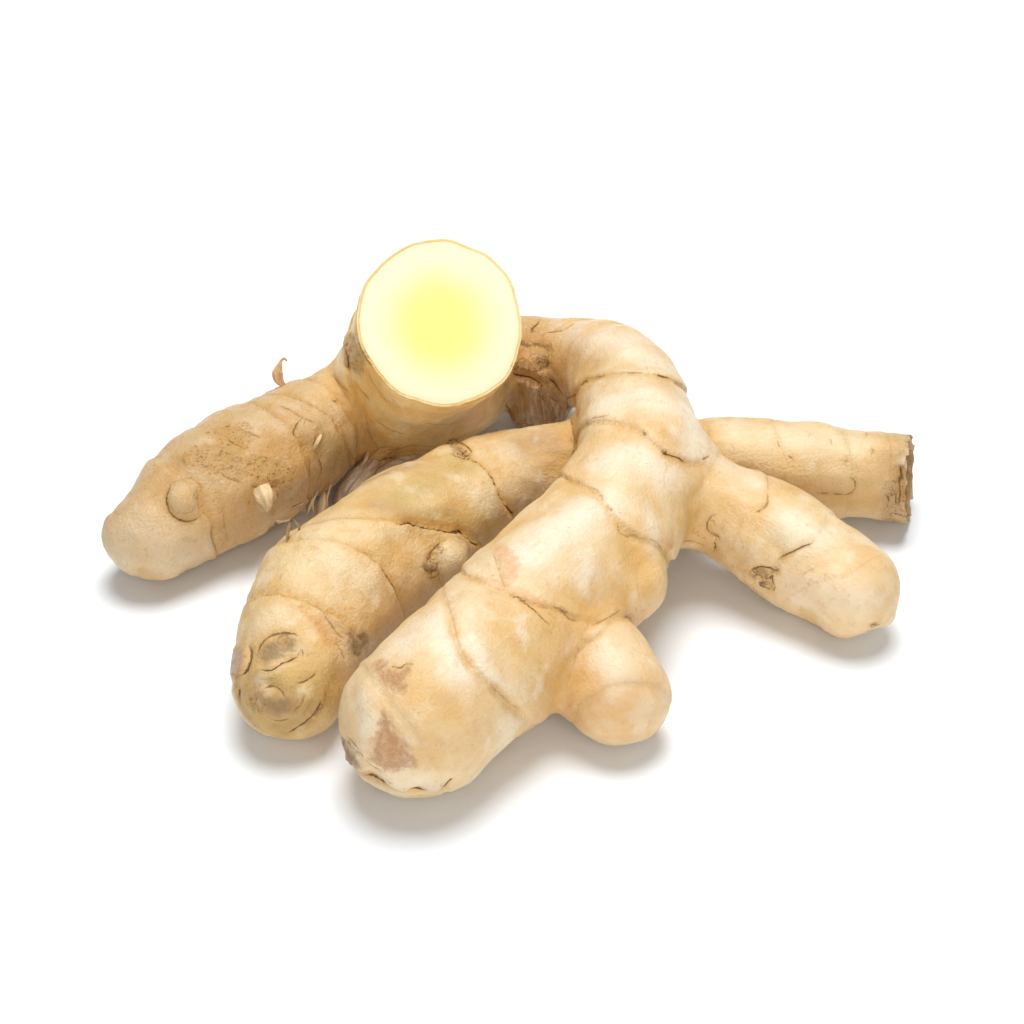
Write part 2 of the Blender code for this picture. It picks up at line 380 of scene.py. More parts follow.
BUDS = (
    Bud("left_bud", "left_finger", (-66.5, 2.1, 18.7), 3.6, 0.8, mark=0.25),
    Bud("left_upper_bud", "left_finger", (-44.0, 23.3, 19.6), 4.0, 1.0, mark=0.15),
    Bud("left_peg", "left_finger", (-51.0, 7.3, 15.0), 2.2, 0.8, mark=0.1),
    Bud("middle_side_bud", "middle_finger", (-15.5, -11.5, 14.5), 5.2, 1.6, mark=0.3),
    Bud("front_knob", "front_finger", (21.0, -24.0, 18.3), 7.0, 3.0, mark=0.1),
    Bud("right_nub", "right_finger", (70.3, -18.9, 6.3), 3.0, 1.5, mark=0.1),
    Bud("neck_lump", "root_stub", (3.1, 52.5, 18.0), 3.6, 0.8, mark=0.6),
    Bud("root_lump_near", "left_finger", (-30.5, 36.0, 6.0), 5.0, 2.0, mark=0.5),
    Bud("root_lump_far", "knuckle", (-23.0, 38.0, 6.5), 5.0, 2.0, mark=0.5),
)

# Which finger grows out of which, and how softly the skin rounds into the other, in millimetres.
JOINS = (
    ("left_finger", "knuckle", 2.0),
    ("knuckle", "cut_knuckle", 8.0),
    ("knuckle", "front_finger", 2.0),
    ("front_finger", "middle_finger", 3.5),
    ("front_finger", "right_finger", 7.0),
    ("front_finger", "thumb", 3.0),
    ("front_finger", "root_stub", 4.0),
)

CREASES = tuple(Crease(*row) for row in (
    # The middle finger: the strong ledge, the thin dashed ring, the fold with its dark end, and the tip.
    # The fold's dark end is partly painted shadow where the cut stub meets the finger.
    (((395, 522), (409, 522), (424, 525), (451, 530), (462, 532), (480, 548)), 1.8, 0.8, 0.6),
    (((457, 446), (471, 458), (483, 467), (491, 477), (496, 489)), 1.4, 0.4),
    (((496, 489), (501, 499), (508, 508), (516, 517)), 1.1, 0.35),
    (((444, 446), (451, 441), (460, 442), (468, 447), (472, 454)), 0.9, 0.4),
    (((448, 452), (456, 455), (463, 458), (471, 460)), 0.8, 0.3),
    (((354, 550), (368, 555), (380, 563)), 0.45, 0.3, 0.9),
    (((380, 563), (387, 573), (394, 583), (399, 594), (402, 602)), 1.2, 0.5),
    (((246, 604), (253, 599), (263, 596), (281, 596)), 0.55, 0.2),
    (((281, 596), (297, 599), (309, 602), (322, 610), (334, 618)), 0.35, 0.25, 0.8),
    (((255, 655), (258, 649), (263, 642), (271, 636), (281, 633), (294, 634), (299, 638)), 0.85, 0.3),
    (((258, 669), (267, 670), (275, 667), (282, 661), (289, 659), (299, 656)), 1.0, 0.6, 0.6),
    (((300, 648), (303, 653), (302, 658)), 0.7),
    (((249, 645), (250, 654), (248, 664), (244, 673), (239, 677)), 1.0, 0.6, 0.7),
    (((240, 684), (238, 694), (241, 704)), 1.0, 0.4),
    (((250, 722), (257, 729), (266, 733)), 1.2, 0.5),
    (((262, 690), (270, 686), (280, 690), (286, 698)), 0.8, 0.4),
    (((296, 684), (308, 680), (318, 672)), 0.8, 0.4),
    (((266, 716), (277, 722), (290, 720)), 0.8, 0.4),
    (((304, 692), (301, 704), (292, 712)), 0.6, 0.3),
    (((321, 699), (318, 708), (309, 720), (299, 728), (286, 735)), 0.95, 0.4),
    (((325, 690), (326, 700), (321, 712), (312, 722)), 0.45, 0.2),
    (((334, 638), (340, 646), (344, 655), (345, 662)), 0.6, 0.4),
    (((322, 612), (331, 622), (338, 632), (345, 640)), 0.5, 0.4, 1.0),
    (((283, 582), (289, 582)), 0.9, 0.15),
    (((446, 539), (438, 545), (431, 555), (427, 565)), 0.8, 0.4),
    (((423, 568), (430, 572), (436, 569), (438, 562)), 0.7, 0.3),
    (((425, 576), (433, 578), (441, 573)), 0.6, 0.3),
    # The front finger.
    (((493, 553), (501, 576), (508, 594)), 0.25, 0.15),
    (((508, 594), (517, 598), (530, 606), (541, 617), (551, 626)), 0.75, 0.3),
    (((551, 606), (563, 611), (572, 619), (580, 621)), 0.5),
    (((588, 626), (599, 622), (610, 617), (623, 609)), 0.45),
    (((660, 450), (666, 454), (676, 457), (689, 462)), 0.95, 0.35),
    (((691, 463), (692, 469)), 0.8),
    (((700, 461), (706, 458), (711, 455)), 0.85),
    (((641, 428), (648, 436)), 0.6),
    (((655, 446), (664, 450)), 0.35, 0.2),
    (((588, 420), (596, 417), (610, 415)), 0.45, 0.15),
    (((579, 388), (582, 383), (588, 380)), 0.85, 0.35),
    (((594, 377), (605, 376)), 0.7, 0.3),
    (((620, 373), (645, 372)), 0.4, 0.15),
    (((653, 374), (662, 376), (671, 380)), 0.95, 0.3),
    (((671, 380), (680, 384), (689, 386)), 0.5),
    (((607, 505), (613, 510)), 0.6, 0.2),
    (((586, 486), (596, 489), (604, 499)), 0.3, 0.2, 0.8),
    (((618, 521), (622, 531), (634, 536), (650, 539), (662, 546), (667, 556)), 0.4, 0.25, 0.8),
    (((445, 599), (451, 614), (456, 634), (464, 655), (475, 670)), 0.2, 0.3, 1.2),
    (((491, 684), (503, 695), (513, 706), (524, 710)), 0.35, 0.25, 0.8),
    (((363, 775), (383, 785), (409, 791), (432, 790), (445, 784), (455, 777)), 1.2, 0.6, 0.7),
    (((352, 750), (362, 757), (371, 768), (383, 774)), 0.5, 0.4, 0.8),
    (((339, 742), (344, 753), (352, 764), (360, 770)), 0.8, 0.4),
    (((345, 735), (355, 745), (364, 757)), 0.5, 0.3),
    (((389, 665), (399, 668), (406, 664), (415, 665)), 0.7, 0.2),
    (((357, 704), (361, 712)), 0.6, 0.15),
    # The neck and its folds; the darkest fold lines are partly painted shade under the cut's rim.
    (((541, 319), (536, 325), (532, 328), (527, 333), (523, 344), (518, 357), (512, 370)), 0.9, 0.4),
    (((574, 321), (566, 327), (556, 331), (545, 334), (541, 338)), 0.65),
    (((540, 358), (545, 357), (547, 363), (542, 369), (537, 365)), 0.8, 0.4),
    (((526, 344), (531, 350), (527, 360)), 0.5, 0.3),
    (((512, 371), (521, 376), (531, 379), (539, 384), (544, 390)), 1.0, 0.9, 1.0),
    (((546, 377), (552, 383), (558, 391), (566, 397)), 1.0, 0.6, 0.7),
    (((549, 396), (554, 401), (561, 402)), 0.8, 0.4),
    (((581, 393), (570, 397), (567, 400), (568, 407), (571, 426), (574, 441), (572, 459)), 0.7, 0.3),
    # The dry stub in the neck's bend.
    # The lines at its edges are partly painted shade where it meets the cut knuckle and the middle finger.
    (((506, 399), (508, 408), (512, 415)), 0.9, 0.4),
    (((514, 423), (524, 425), (536, 426)), 0.8, 0.3),
    (((541, 422), (549, 421), (558, 420)), 0.7, 0.3),
    (((520, 384), (522, 396), (524, 404)), 0.5, 0.3),
    (((538, 388), (541, 398), (549, 405)), 0.6, 0.3),
    # The right finger.
    (((766, 472), (768, 480), (768, 492)), 0.35, 0.15),
    (((768, 492), (767, 503), (762, 509), (754, 513)), 0.7, 0.25),
    (((776, 561), (788, 554), (802, 547), (814, 543)), 0.8, 0.3),
    (((798, 580), (806, 573), (818, 567), (832, 563)), 0.2, 0.15, 0.9),
    (((714, 514), (708, 521), (707, 532), (717, 538), (719, 543)), 0.7, 0.3),
    (((712, 541), (714, 548), (711, 554)), 0.9, 0.4),
    (((682, 542), (694, 543), (706, 548)), 0.5, 0.3),
    (((712, 517), (718, 513)), 0.7, 0.2),
    (((868, 623), (875, 625), (882, 623)), 0.8, 0.3),
    (((748, 573), (756, 568), (766, 568), (775, 571), (780, 567)), 0.9, 0.35),
    (((751, 578), (758, 575), (764, 580)), 0.6, 0.3),
    # The dry end of the middle finger; the first, darkest line is painted shadow in the crack at the torn
    # end.
    (((900, 464), (902, 474), (900, 484), (901, 494), (899, 506)), 2.2, 1.2, 1.2),
    (((884, 494), (889, 499), (887, 506)), 1.0, 0.4),
    (((890, 512), (897, 515), (903, 513)), 1.0, 0.4),
    (((777, 438), (780, 446), (784, 450)), 0.6, 0.2),
    (((787, 454), (793, 460), (796, 462)), 0.7, 0.2),
    (((839, 460), (850, 462)), 0.8, 0.25),
    (((840, 465), (848, 466)), 0.5, 0.2),
    (((870, 446), (873, 451), (871, 457)), 0.8, 0.25),
    (((866, 431), (867, 439)), 0.5),
    (((830, 436), (832, 447)), 0.4, 0.15),
    (((815, 493), (829, 494), (848, 495), (855, 488), (854, 480), (848, 477)), 0.6, 0.25),
    (((765, 422), (771, 424)), 0.4),
    # The left finger and the knuckle.
    (((171, 484), (167, 494), (167, 505), (172, 515), (183, 521), (194, 521), (203, 515)), 0.85, 0.35),
    (((178, 480), (190, 478), (200, 485), (203, 497)), 0.3, 0.2),
    (((212, 523), (213, 538), (218, 554)), 0.7, 0.3),
    (((223, 505), (224, 520), (230, 545)), 0.35, 0.2, 0.8),
    (((163, 577), (166, 582)), 0.6, 0.2),
    (((233, 422), (245, 431), (264, 439)), 0.5),
    (((240, 419), (248, 424), (254, 431)), 0.4),
    (((302, 417), (296, 424), (294, 432), (297, 438)), 0.9, 0.45),
    (((311, 447), (315, 441), (319, 433), (320, 437)), 0.7, 0.3),
    (((298, 415), (308, 420), (318, 424)), 0.5, 0.2),
    (((271, 395), (282, 394), (292, 396), (303, 401)), 0.7, 0.35),
    (((303, 401), (314, 406), (322, 412), (332, 414)), 0.4, 0.25),
    (((346, 349), (347, 358), (349, 373)), 0.8, 0.2),
    (((331, 396), (336, 399), (340, 404)), 0.9, 0.3),
    (((343, 401), (347, 406)), 0.6),
    (((357, 342), (363, 352), (368, 361), (374, 368)), 0.5),
    (((389, 395), (395, 402), (400, 406)), 0.5, 0.2),
    (((423, 421), (441, 424), (463, 421)), 0.35, 0.1),
    (((360, 400), (365, 420), (372, 437), (380, 452)), 0.3, 0.2, 1.0),
    (((343, 432), (349, 448), (356, 463)), 0.35, 0.25, 0.8),
    (((308, 456), (311, 478), (308, 500)), 0.4, 0.3, 0.9),
    (((250, 486), (262, 488), (280, 486)), 0.7, 0.4, 0.9),
    (((366, 454), (362, 462), (357, 470)), 0.6, 0.3),
    (((292, 508), (303, 508), (314, 503), (326, 504)), 0.9, 0.5, 0.9),
    (((372, 467), (380, 461), (396, 457)), 0.8, 0.5),
    (((366, 372), (372, 384), (381, 396), (388, 404)), 0.6, 0.3),
    (((352, 380), (360, 392), (370, 403)), 0.5, 0.3),
    (((331, 374), (340, 386), (349, 392)), 0.5, 0.25),
    (((375, 420), (390, 430), (407, 435)), 0.35, 0.2),
    (((276, 404), (290, 409), (305, 417), (318, 421)), 0.5, 0.3),
    (((225, 436), (238, 445), (252, 447)), 0.5, 0.3),
    (((216, 470), (228, 478), (243, 484)), 0.5, 0.3),
    (((318, 455), (322, 470), (318, 482)), 0.6, 0.3),
))

# Patches of other skin, each as a closed outline in the picture.
PATCHES = {
    Kind.STAIN: (
        (
            (373, 661), (380, 659), (389, 666), (399, 669), (408, 664), (411, 670), (408, 680), (405, 692),
            (394, 694), (386, 684), (376, 675),
        ),
        (
            (381, 708), (388, 716), (394, 730), (406, 744), (417, 757), (418, 768), (400, 772), (383, 771),
            (368, 759), (371, 744), (378, 728),
        ),
    ),
    Kind.ORANGE: (
        ((490, 549), (497, 542), (508, 545), (519, 560), (521, 574), (513, 585), (501, 577)),
        ((662, 540), (672, 539), (675, 553), (667, 558)),
        # Partly painted shade in the fold between the middle finger's tip and its next segment.
        ((303, 608), (315, 610), (327, 622), (334, 634), (336, 646), (328, 645), (318, 632), (308, 622)),
        ((489, 574), (505, 582), (530, 590), (548, 601), (545, 610), (525, 600), (505, 592), (491, 584)),
    ),
    Kind.GREY: (
        ((258, 655), (264, 645), (276, 639), (290, 637), (298, 642), (292, 653), (277, 660), (263, 666)),
        ((262, 697), (270, 693), (281, 700), (290, 697), (289, 709), (280, 716), (268, 711)),
    ),
    Kind.SCAB: (
        ((348, 634), (355, 629), (364, 630), (371, 640), (365, 650), (357, 656), (349, 650)),
        # Partly painted shadow where the cut stub rests on the middle finger.
        ((446, 441), (457, 441), (467, 446), (472, 454), (463, 459), (453, 452)),
        ((339, 738), (349, 741), (358, 757), (362, 768), (352, 768), (343, 757)),
        ((750, 571), (759, 566), (771, 570), (779, 566), (777, 574), (765, 577), (754, 579)),
        ((534, 353), (544, 352), (551, 362), (546, 371), (537, 368)),
        # Mostly painted shadow in the crack at the torn dry end.
        ((897, 468), (904, 462), (906, 478), (904, 498), (901, 510), (896, 503), (899, 486)),
        ((422, 566), (431, 562), (439, 567), (437, 577), (427, 576)),
    ),
    Kind.WARTS: (
        (
            (176, 455), (190, 446), (209, 442), (231, 449), (243, 460), (238, 473), (215, 474), (195, 470),
            (181, 466),
        ),
        ((236, 458), (258, 452), (300, 468), (292, 492), (262, 484), (244, 476)),
        ((200, 432), (226, 422), (262, 436), (246, 450), (212, 442)),
        ((340, 338), (352, 332), (366, 356), (362, 376), (346, 366)),
        ((249, 694), (259, 691), (268, 699), (267, 712), (256, 713), (247, 705)),
    ),
    Kind.FLAKE: (
        ((235, 648), (246, 646), (249, 655), (247, 666), (243, 675), (232, 677), (227, 668), (229, 658)),
    ),
    Kind.SPECKS: (
        ((884, 486), (893, 474), (903, 468), (913, 476), (913, 522), (895, 526), (880, 520)),
        ((520, 415), (560, 412), (566, 424), (516, 426)),
    ),
}

BLUSHES = {
    # Mostly painted highlight on the tops of the fingers, partly lighter skin.
    Tone.PALE: (
        Blush(((530, 556), (555, 530), (585, 512), (603, 508)), 7.0, 1.0),
        Blush(((610, 462), (632, 452), (650, 466), (668, 474)), 6.0, 0.9),
        Blush(((600, 405), (640, 395), (672, 404)), 6.5, 0.75),
        Blush(((598, 338), (625, 346), (655, 362)), 5.5, 0.7),
        Blush(((690, 412), (694, 432), (700, 452)), 6.0, 1.0),
        Blush(((650, 520), (656, 545)), 3.5, 0.6),
        Blush(((580, 556), (590, 580)), 5.0, 0.6),
        Blush(((572, 336), (590, 348)), 4.5, 0.5),
        Blush(((405, 640), (428, 628), (447, 640), (462, 668)), 6.0, 0.85),
        Blush(((470, 640), (482, 668), (500, 690)), 3.2, 0.8),
        Blush(((515, 722), (500, 750)), 4.0, 0.6),
        Blush(((400, 783), (430, 787)), 3.5, 0.6),
        Blush(((364, 700), (366, 730)), 3.5, 0.6),
        Blush(((585, 575), (600, 590)), 5.0, 0.8),
        Blush(((590, 650), (612, 660), (618, 680)), 4.5, 0.7),
        Blush(((725, 470), (752, 480)), 4.5, 0.7),
        Blush(((790, 520), (812, 538)), 5.0, 0.85),
        Blush(((800, 588), (830, 590), (862, 600)), 6.0, 0.6),
        Blush(((735, 432), (790, 436), (850, 442)), 5.0, 0.6),
        Blush(((340, 566), (362, 576)), 6.0, 0.65),
        Blush(((470, 492), (486, 500)), 3.5, 0.55),
        Blush(((446, 556), (462, 560)), 3.5, 0.5),
        Blush(((262, 622), (280, 618)), 4.0, 0.5),
        Blush(((118, 560), (130, 525), (160, 556), (190, 566)), 7.0, 0.8),
        Blush(((250, 420), (270, 412)), 4.0, 0.4),
        Blush(((905, 460), (907, 466)), 1.6, 0.9),
    ),
    # Partly the skin's own ochre, partly painted shade in hollows and on undersides, as under the cut knuckle
    # and the neck.
    Tone.TAN: (
        Blush(((442, 700), (465, 720), (470, 745)), 7.0, 0.55),
        Blush(((548, 618), (565, 650), (550, 680)), 6.5, 0.5),
        Blush(((622, 520), (642, 548), (650, 572)), 5.0, 0.6),
        Blush(((626, 600), (640, 594), (648, 586)), 3.5, 0.9),
        Blush(((684, 520), (700, 540), (712, 552)), 4.5, 0.8),
        Blush(((748, 524), (762, 546)), 4.5, 0.5),
        Blush(((740, 560), (780, 600), (815, 618)), 4.5, 0.5),
        Blush(((560, 372), (575, 352), (588, 372)), 5.5, 0.85),
        Blush(((530, 352), (536, 372)), 3.5, 0.9),
        Blush(((790, 488), (840, 500), (872, 502)), 4.0, 0.9),
        Blush(((898, 580), (900, 600)), 3.0, 0.5),
        Blush(((374, 420), (420, 432), (470, 424)), 6.5, 0.6),
        Blush(((352, 395), (368, 380), (385, 400)), 5.0, 0.5),
        Blush(((262, 478), (290, 492)), 6.5, 0.6),
        Blush(((372, 640), (380, 665)), 3.5, 0.5),
        Blush(((230, 440), (262, 455), (300, 450)), 6.0, 0.6),
        Blush(((500, 620), (520, 640)), 5.0, 0.4),
        Blush(((535, 560), (560, 590), (600, 605)), 4.0, 0.5),
        Blush(((420, 700), (440, 760)), 5.0, 0.4),
        Blush(((600, 690), (640, 700), (650, 680)), 4.0, 0.55),
    ),
    Tone.OLIVE: (
        Blush(((400, 500), (430, 478), (462, 462)), 7.0, 0.75),
        Blush(((410, 515), (455, 520), (485, 520)), 4.5, 0.8),
        Blush(((255, 690), (290, 700), (318, 690)), 7.5, 1.0),
        Blush(((300, 724), (275, 726), (252, 716)), 5.5, 0.9),
        Blush(((325, 440), (345, 460)), 5.5, 0.7),
    ),
    # Partly brown skin, partly painted shade in the gap under the knuckle and behind the cut.
    Tone.BROWN: (
        Blush(((450, 522), (472, 532), (486, 530)), 3.0, 0.55),
        Blush(((398, 516), (420, 520), (450, 525)), 2.2, 0.4),
        Blush(((237, 684), (240, 704), (252, 722)), 2.2, 0.8),
        Blush(((318, 706), (304, 726), (284, 733)), 1.8, 0.8),
        Blush(((256, 690), (268, 706), (290, 706)), 4.5, 1.0),
        Blush(((306, 706), (296, 722), (276, 726)), 3.0, 0.6),
        Blush(((262, 650), (290, 648)), 3.2, 0.6),
        Blush(((318, 690), (330, 672), (335, 650)), 2.4, 0.55),
        Blush(((343, 745), (362, 774), (398, 788), (440, 786)), 2.0, 0.85),
        Blush(((185, 462), (210, 456), (235, 460)), 3.5, 0.3),
        Blush(((275, 505), (310, 480), (350, 455)), 5.0, 0.5),
        Blush(((374, 505), (392, 510), (404, 516)), 3.0, 0.55),
        Blush(((520, 446), (545, 440), (566, 448)), 6.5, 0.8),
        Blush(((505, 510), (522, 492), (545, 470)), 5.0, 0.75),
        Blush(((340, 628), (352, 645)), 3.5, 0.6),
        Blush(((300, 500), (335, 480), (355, 462)), 5.0, 0.6),
        Blush(((505, 392), (530, 400), (555, 412)), 6.0, 0.9),
        Blush(((350, 490), (385, 474), (410, 464)), 4.0, 0.9),
        Blush(((888, 500), (895, 512)), 3.0, 0.6),
        Blush(((368, 345), (356, 372)), 2.5, 0.4),
    ),
}

SWELLS = tuple(Swell(*row) for row in (
    (((540, 545), (585, 512)), 8.0, 0.55),
    (((560, 597), (600, 612)), 3.5, -0.5),
    (((612, 520), (640, 560)), 5.0, -0.55),
    (((630, 540), (652, 590)), 3.0, -0.4),
    (((610, 462), (650, 470)), 6.0, 0.4),
    (((598, 490), (620, 512)), 3.0, -0.35),
    (((664, 470), (676, 500)), 4.0, -0.4),
    (((600, 342), (640, 350)), 6.0, 0.35),
    (((585, 366), (650, 366)), 3.0, -0.3),
    (((450, 600), (470, 665), (520, 712)), 2.6, -0.45),
    (((474, 640), (492, 672)), 3.0, 0.5),
    (((420, 640), (440, 660)), 7.0, 0.4),
    (((455, 715), (470, 750)), 6.0, -0.4),
    (((365, 690), (372, 740)), 3.5, 0.4),
    (((392, 735), (400, 760)), 3.5, -0.45),
    (((400, 782), (436, 788)), 3.0, 0.45),
    (((376, 774), (386, 780)), 2.0, -0.35),
    (((350, 760), (357, 768)), 1.8, 0.8),
    (((370, 776), (378, 781)), 1.6, -0.8),
    (((392, 785), (402, 788)), 2.0, 0.7),
    (((413, 789), (418, 789)), 1.5, -0.8),
    (((430, 787), (441, 783)), 2.0, 0.7),
    (((540, 650), (560, 680)), 6.0, -0.4),
    (((600, 650), (616, 668)), 4.5, 0.4),
    (((636, 690), (652, 712)), 4.0, -0.4),
    (((790, 522), (812, 540)), 4.5, 0.45),
    (((752, 535), (778, 552)), 3.5, -0.4),
    (((715, 488), (738, 500)), 4.0, 0.3),
    (((700, 520), (722, 545)), 3.5, -0.5),
    (((820, 590), (862, 592)), 6.0, 0.35),
    (((345, 560), (370, 580)), 6.0, 0.45),
    (((395, 545), (412, 570)), 3.5, -0.45),
    (((310, 610), (332, 640)), 2.4, -0.7),
    (((300, 640), (330, 660)), 3.0, 0.4),
    (((270, 622), (292, 620)), 4.0, 0.35),
    (((258, 682), (300, 682)), 3.0, -0.35),
    (((270, 705), (300, 706)), 4.0, 0.4),
    (((400, 500), (440, 505)), 5.0, 0.3),
    (((415, 535), (440, 540)), 3.0, -0.4),
    (((250, 505), (292, 520)), 5.0, -0.45),
    (((225, 470), (250, 500)), 5.0, 0.35),
    (((270, 430), (290, 452)), 4.0, -0.4),
    (((205, 500), (212, 530)), 3.0, -0.35),
    (((150, 520), (160, 560)), 6.0, 0.35),
    (((325, 395), (345, 420)), 4.0, -0.5),
    (((355, 400), (375, 440)), 3.5, -0.4),
    (((392, 415), (440, 430)), 5.0, 0.35),
))

SCARS = (
    Scar((769, 584), 1.5, 0.85),
    Scar((435, 555), 1.1, 0.5),
    Scar((283, 640), 0.8, 0.4),
    Scar((873, 624), 0.7, 0.5),
    Scar((543, 363), 1.1, 0.7),
)


def hump(gap: np.ndarray, width: float) -> np.ndarray:
    """Falls off from 1 at a gap of 0, to about a third at the width."""
    return np.exp(-((gap / width) ** 2))


def smooth(value: np.ndarray, low: float, high: float) -> np.ndarray:
    """Rises smoothly from 0 at low to 1 at high."""
    share = np.clip((value - low) / (high - low), 0.0, 1.0)
    return share * share * (3 - 2 * share)


def noise_at(where: np.ndarray, length: float | Point, seed: float = 0.0) -> np.ndarray:
    """Smooth noise between about -1 and 1.

    Args:
        where: Points in millimetres.
        length: The noise's length in millimetres, or one for each axis.
        seed: A shift that makes the noise another one.

    Returns:
        One value for each point.
    """
    scaled = where / np.array(length) + seed
    return np.array([noise.noise(Vector(p)) for p in scaled])


def catmull_rom(knots: np.ndarray, t: float) -> np.ndarray:
    """Finds a point on the smooth curve through four knots.

    Args:
        knots: The four knots.
        t: The share of the way from the second to the third.

    Returns:
        The point.
    """
    before, start, end, after = knots
    return 0.5 * (
        2 * start
        + (end - before) * t
        + (2 * before - 5 * start + 4 * end - after) * t**2
        + (3 * start - before - 3 * end + after) * t**3
    )


def curve_through(knots: np.ndarray, step: float) -> np.ndarray:
    """A smooth curve through knots.

    Args:
        knots: One row for each knot.
        step: The distance between the curve's points, measured on the first three columns at most.

    Returns:
        The curve's points, the last knot included.
    """
    ends = np.vstack([2 * knots[0] - knots[1], knots, 2 * knots[-1] - knots[-2]])
    rows = []
    for first in range(len(knots) - 1):
        four = ends[first : first + 4]
        steps = max(2, round(float(np.linalg.norm((four[2] - four[1])[:3])) / step))
        rows += [catmull_rom(four, t) for t in np.arange(steps) / steps]
    rows.append(knots[-1])
    return np.array(rows)


@dataclass
class Place:
    """Where points lie beside an axis, in millimetres."""

    distance: np.ndarray
    outward: np.ndarray
    along: np.ndarray
    reach: np.ndarray
    tangent: np.ndarray

    @cached_property
    def side_and_top(self) -> tuple[np.ndarray, np.ndarray]:
        """How far each point is to the finger's side and above its axis."""
        side = np.cross(self.tangent, (0, 0, 1))
        side /= np.maximum(np.linalg.norm(side, axis=1), NEARLY_NOTHING)[:, None]
        top = np.cross(side, self.tangent)
        offset = self.outward * self.distance[:, None]
        return (offset * side).sum(1), (offset * top).sum(1)


class Axis:
    """The smooth line through a finger's stations, sampled evenly, with its radius."""

    def __init__(self, stations: tuple[Station, ...]) -> None:
        """Samples the curve through the stations."""
        rows = curve_through(np.array(stations, float), AXIS_STEP)
        self.points = rows[:, :3]
        self.radii = rows[:, 3]
        self.along = np.concatenate([[0], np.cumsum(np.linalg.norm(np.diff(self.points, axis=0), axis=1))])
        self.tangents = np.gradient(self.points, self.along, axis=0)
        self.tangents /= np.linalg.norm(self.tangents, axis=1)[:, None]

    def nearest(self, where: np.ndarray) -> Place:
        """Where points lie beside the axis, held at its ends and past them.

        Args:
            where: Points in millimetres.

        Returns:
            Their places beside the axis.
        """
        squares = (where**2).sum(1)[:, None] - 2 * where @ self.points.T + (self.points**2).sum(1)[None, :]
        index = squares.argmin(1)
        tangent = self.tangents[index]
        offset = where - self.points[index]
        slide = (offset * tangent).sum(1)
        first, last = index == 0, index == len(self.points) - 1
        low, high = np.where(first, -np.inf, -AXIS_STEP), np.where(last, np.inf, AXIS_STEP)
        past_ends = np.clip(slide, low, high)
        held = np.clip(slide, np.where(first, 0.0, -AXIS_STEP), np.where(last, 0.0, AXIS_STEP))
        outward = offset - held[:, None] * tangent
        distance = np.maximum(np.linalg.norm(outward, axis=1), NEARLY_NOTHING)
        along = self.along[index]
        return Place(distance, outward / distance[:, None], along + held, along + past_ends, tangent)


class RingLine:
    """A ring scar as it runs round its finger: a leaning plane, its own waves, and the places seen."""

    def __init__(self, ring: Ring) -> None:
        """Starts with a line that isn't drawn to any seen point."""
        self.ring = ring
        self.slant = math.hypot(1.0, ring.side_lean, ring.top_lean)
        self.angles = np.zeros(0)
        self.shifts = np.zeros(0)

    def unfitted(self, place: Place) -> tuple[np.ndarray, np.ndarray]:
        """Finds how far points are past the leaning, waved line.

        Args:
            place: Where the points lie beside the finger's axis.

        Returns:
            Millimetres past the line, and the points' angles round the axis.
        """
        side, top = place.side_and_top
        angle = np.arctan2(top, side)
        wave = sum(height * np.sin(turns * angle + turns * self.ring.along) for turns, height in RING_WAVES)
        lean = self.ring.side_lean * side + self.ring.top_lean * top
        return place.reach - self.ring.along - lean - wave, angle

    def fit(self, place: Place) -> None:
        """Draws the line to seen points, leaving out those that are too far away to be on it."""
        past, angle = self.unfitted(place)
        LOG.info("ring %.0f: seen points are off by %s", self.ring.along, np.round(past, 1))
        near = np.abs(past) < RING_REACH
        self.angles, self.shifts = angle[near], past[near]

    def past(self, place: Place) -> np.ndarray:
        """Finds how far points are past the line.

        Args:
            place: Where the points lie beside the finger's axis.

        Returns:
            Millimetres past the line, square to it.
        """
        past, angle = self.unfitted(place)
        if len(self.angles):
            turn = angle[:, None] - self.angles[None, :]
            weights = hump(np.arctan2(np.sin(turn), np.cos(turn)), RING_BLEND)
            past = past - (weights * self.shifts).sum(1) / (weights.sum(1) + RING_HOLD)
        return past / self.slant

    def ledge(self, place: Place) -> np.ndarray:
        """Height of the skin's swelling towards the ring, its step down behind it, and its groove."""
        past = self.past(place)
        rise = np.exp(-np.abs(past) / LEDGE_FADE) * (1 - smooth(past, -LEDGE_STEP, LEDGE_STEP))
        return self.ring.height * (LEDGE_HEIGHT * rise - GROOVE_DEPTH * hump(past - LEDGE_STEP, GROOVE_WIDTH))


class Fields(NamedTuple):
    """The skin's distance to each finger and bud, and the way out from each."""

    gaps: dict[str, np.ndarray]
    ways: dict[str, np.ndarray]
    places: dict[str, Place]


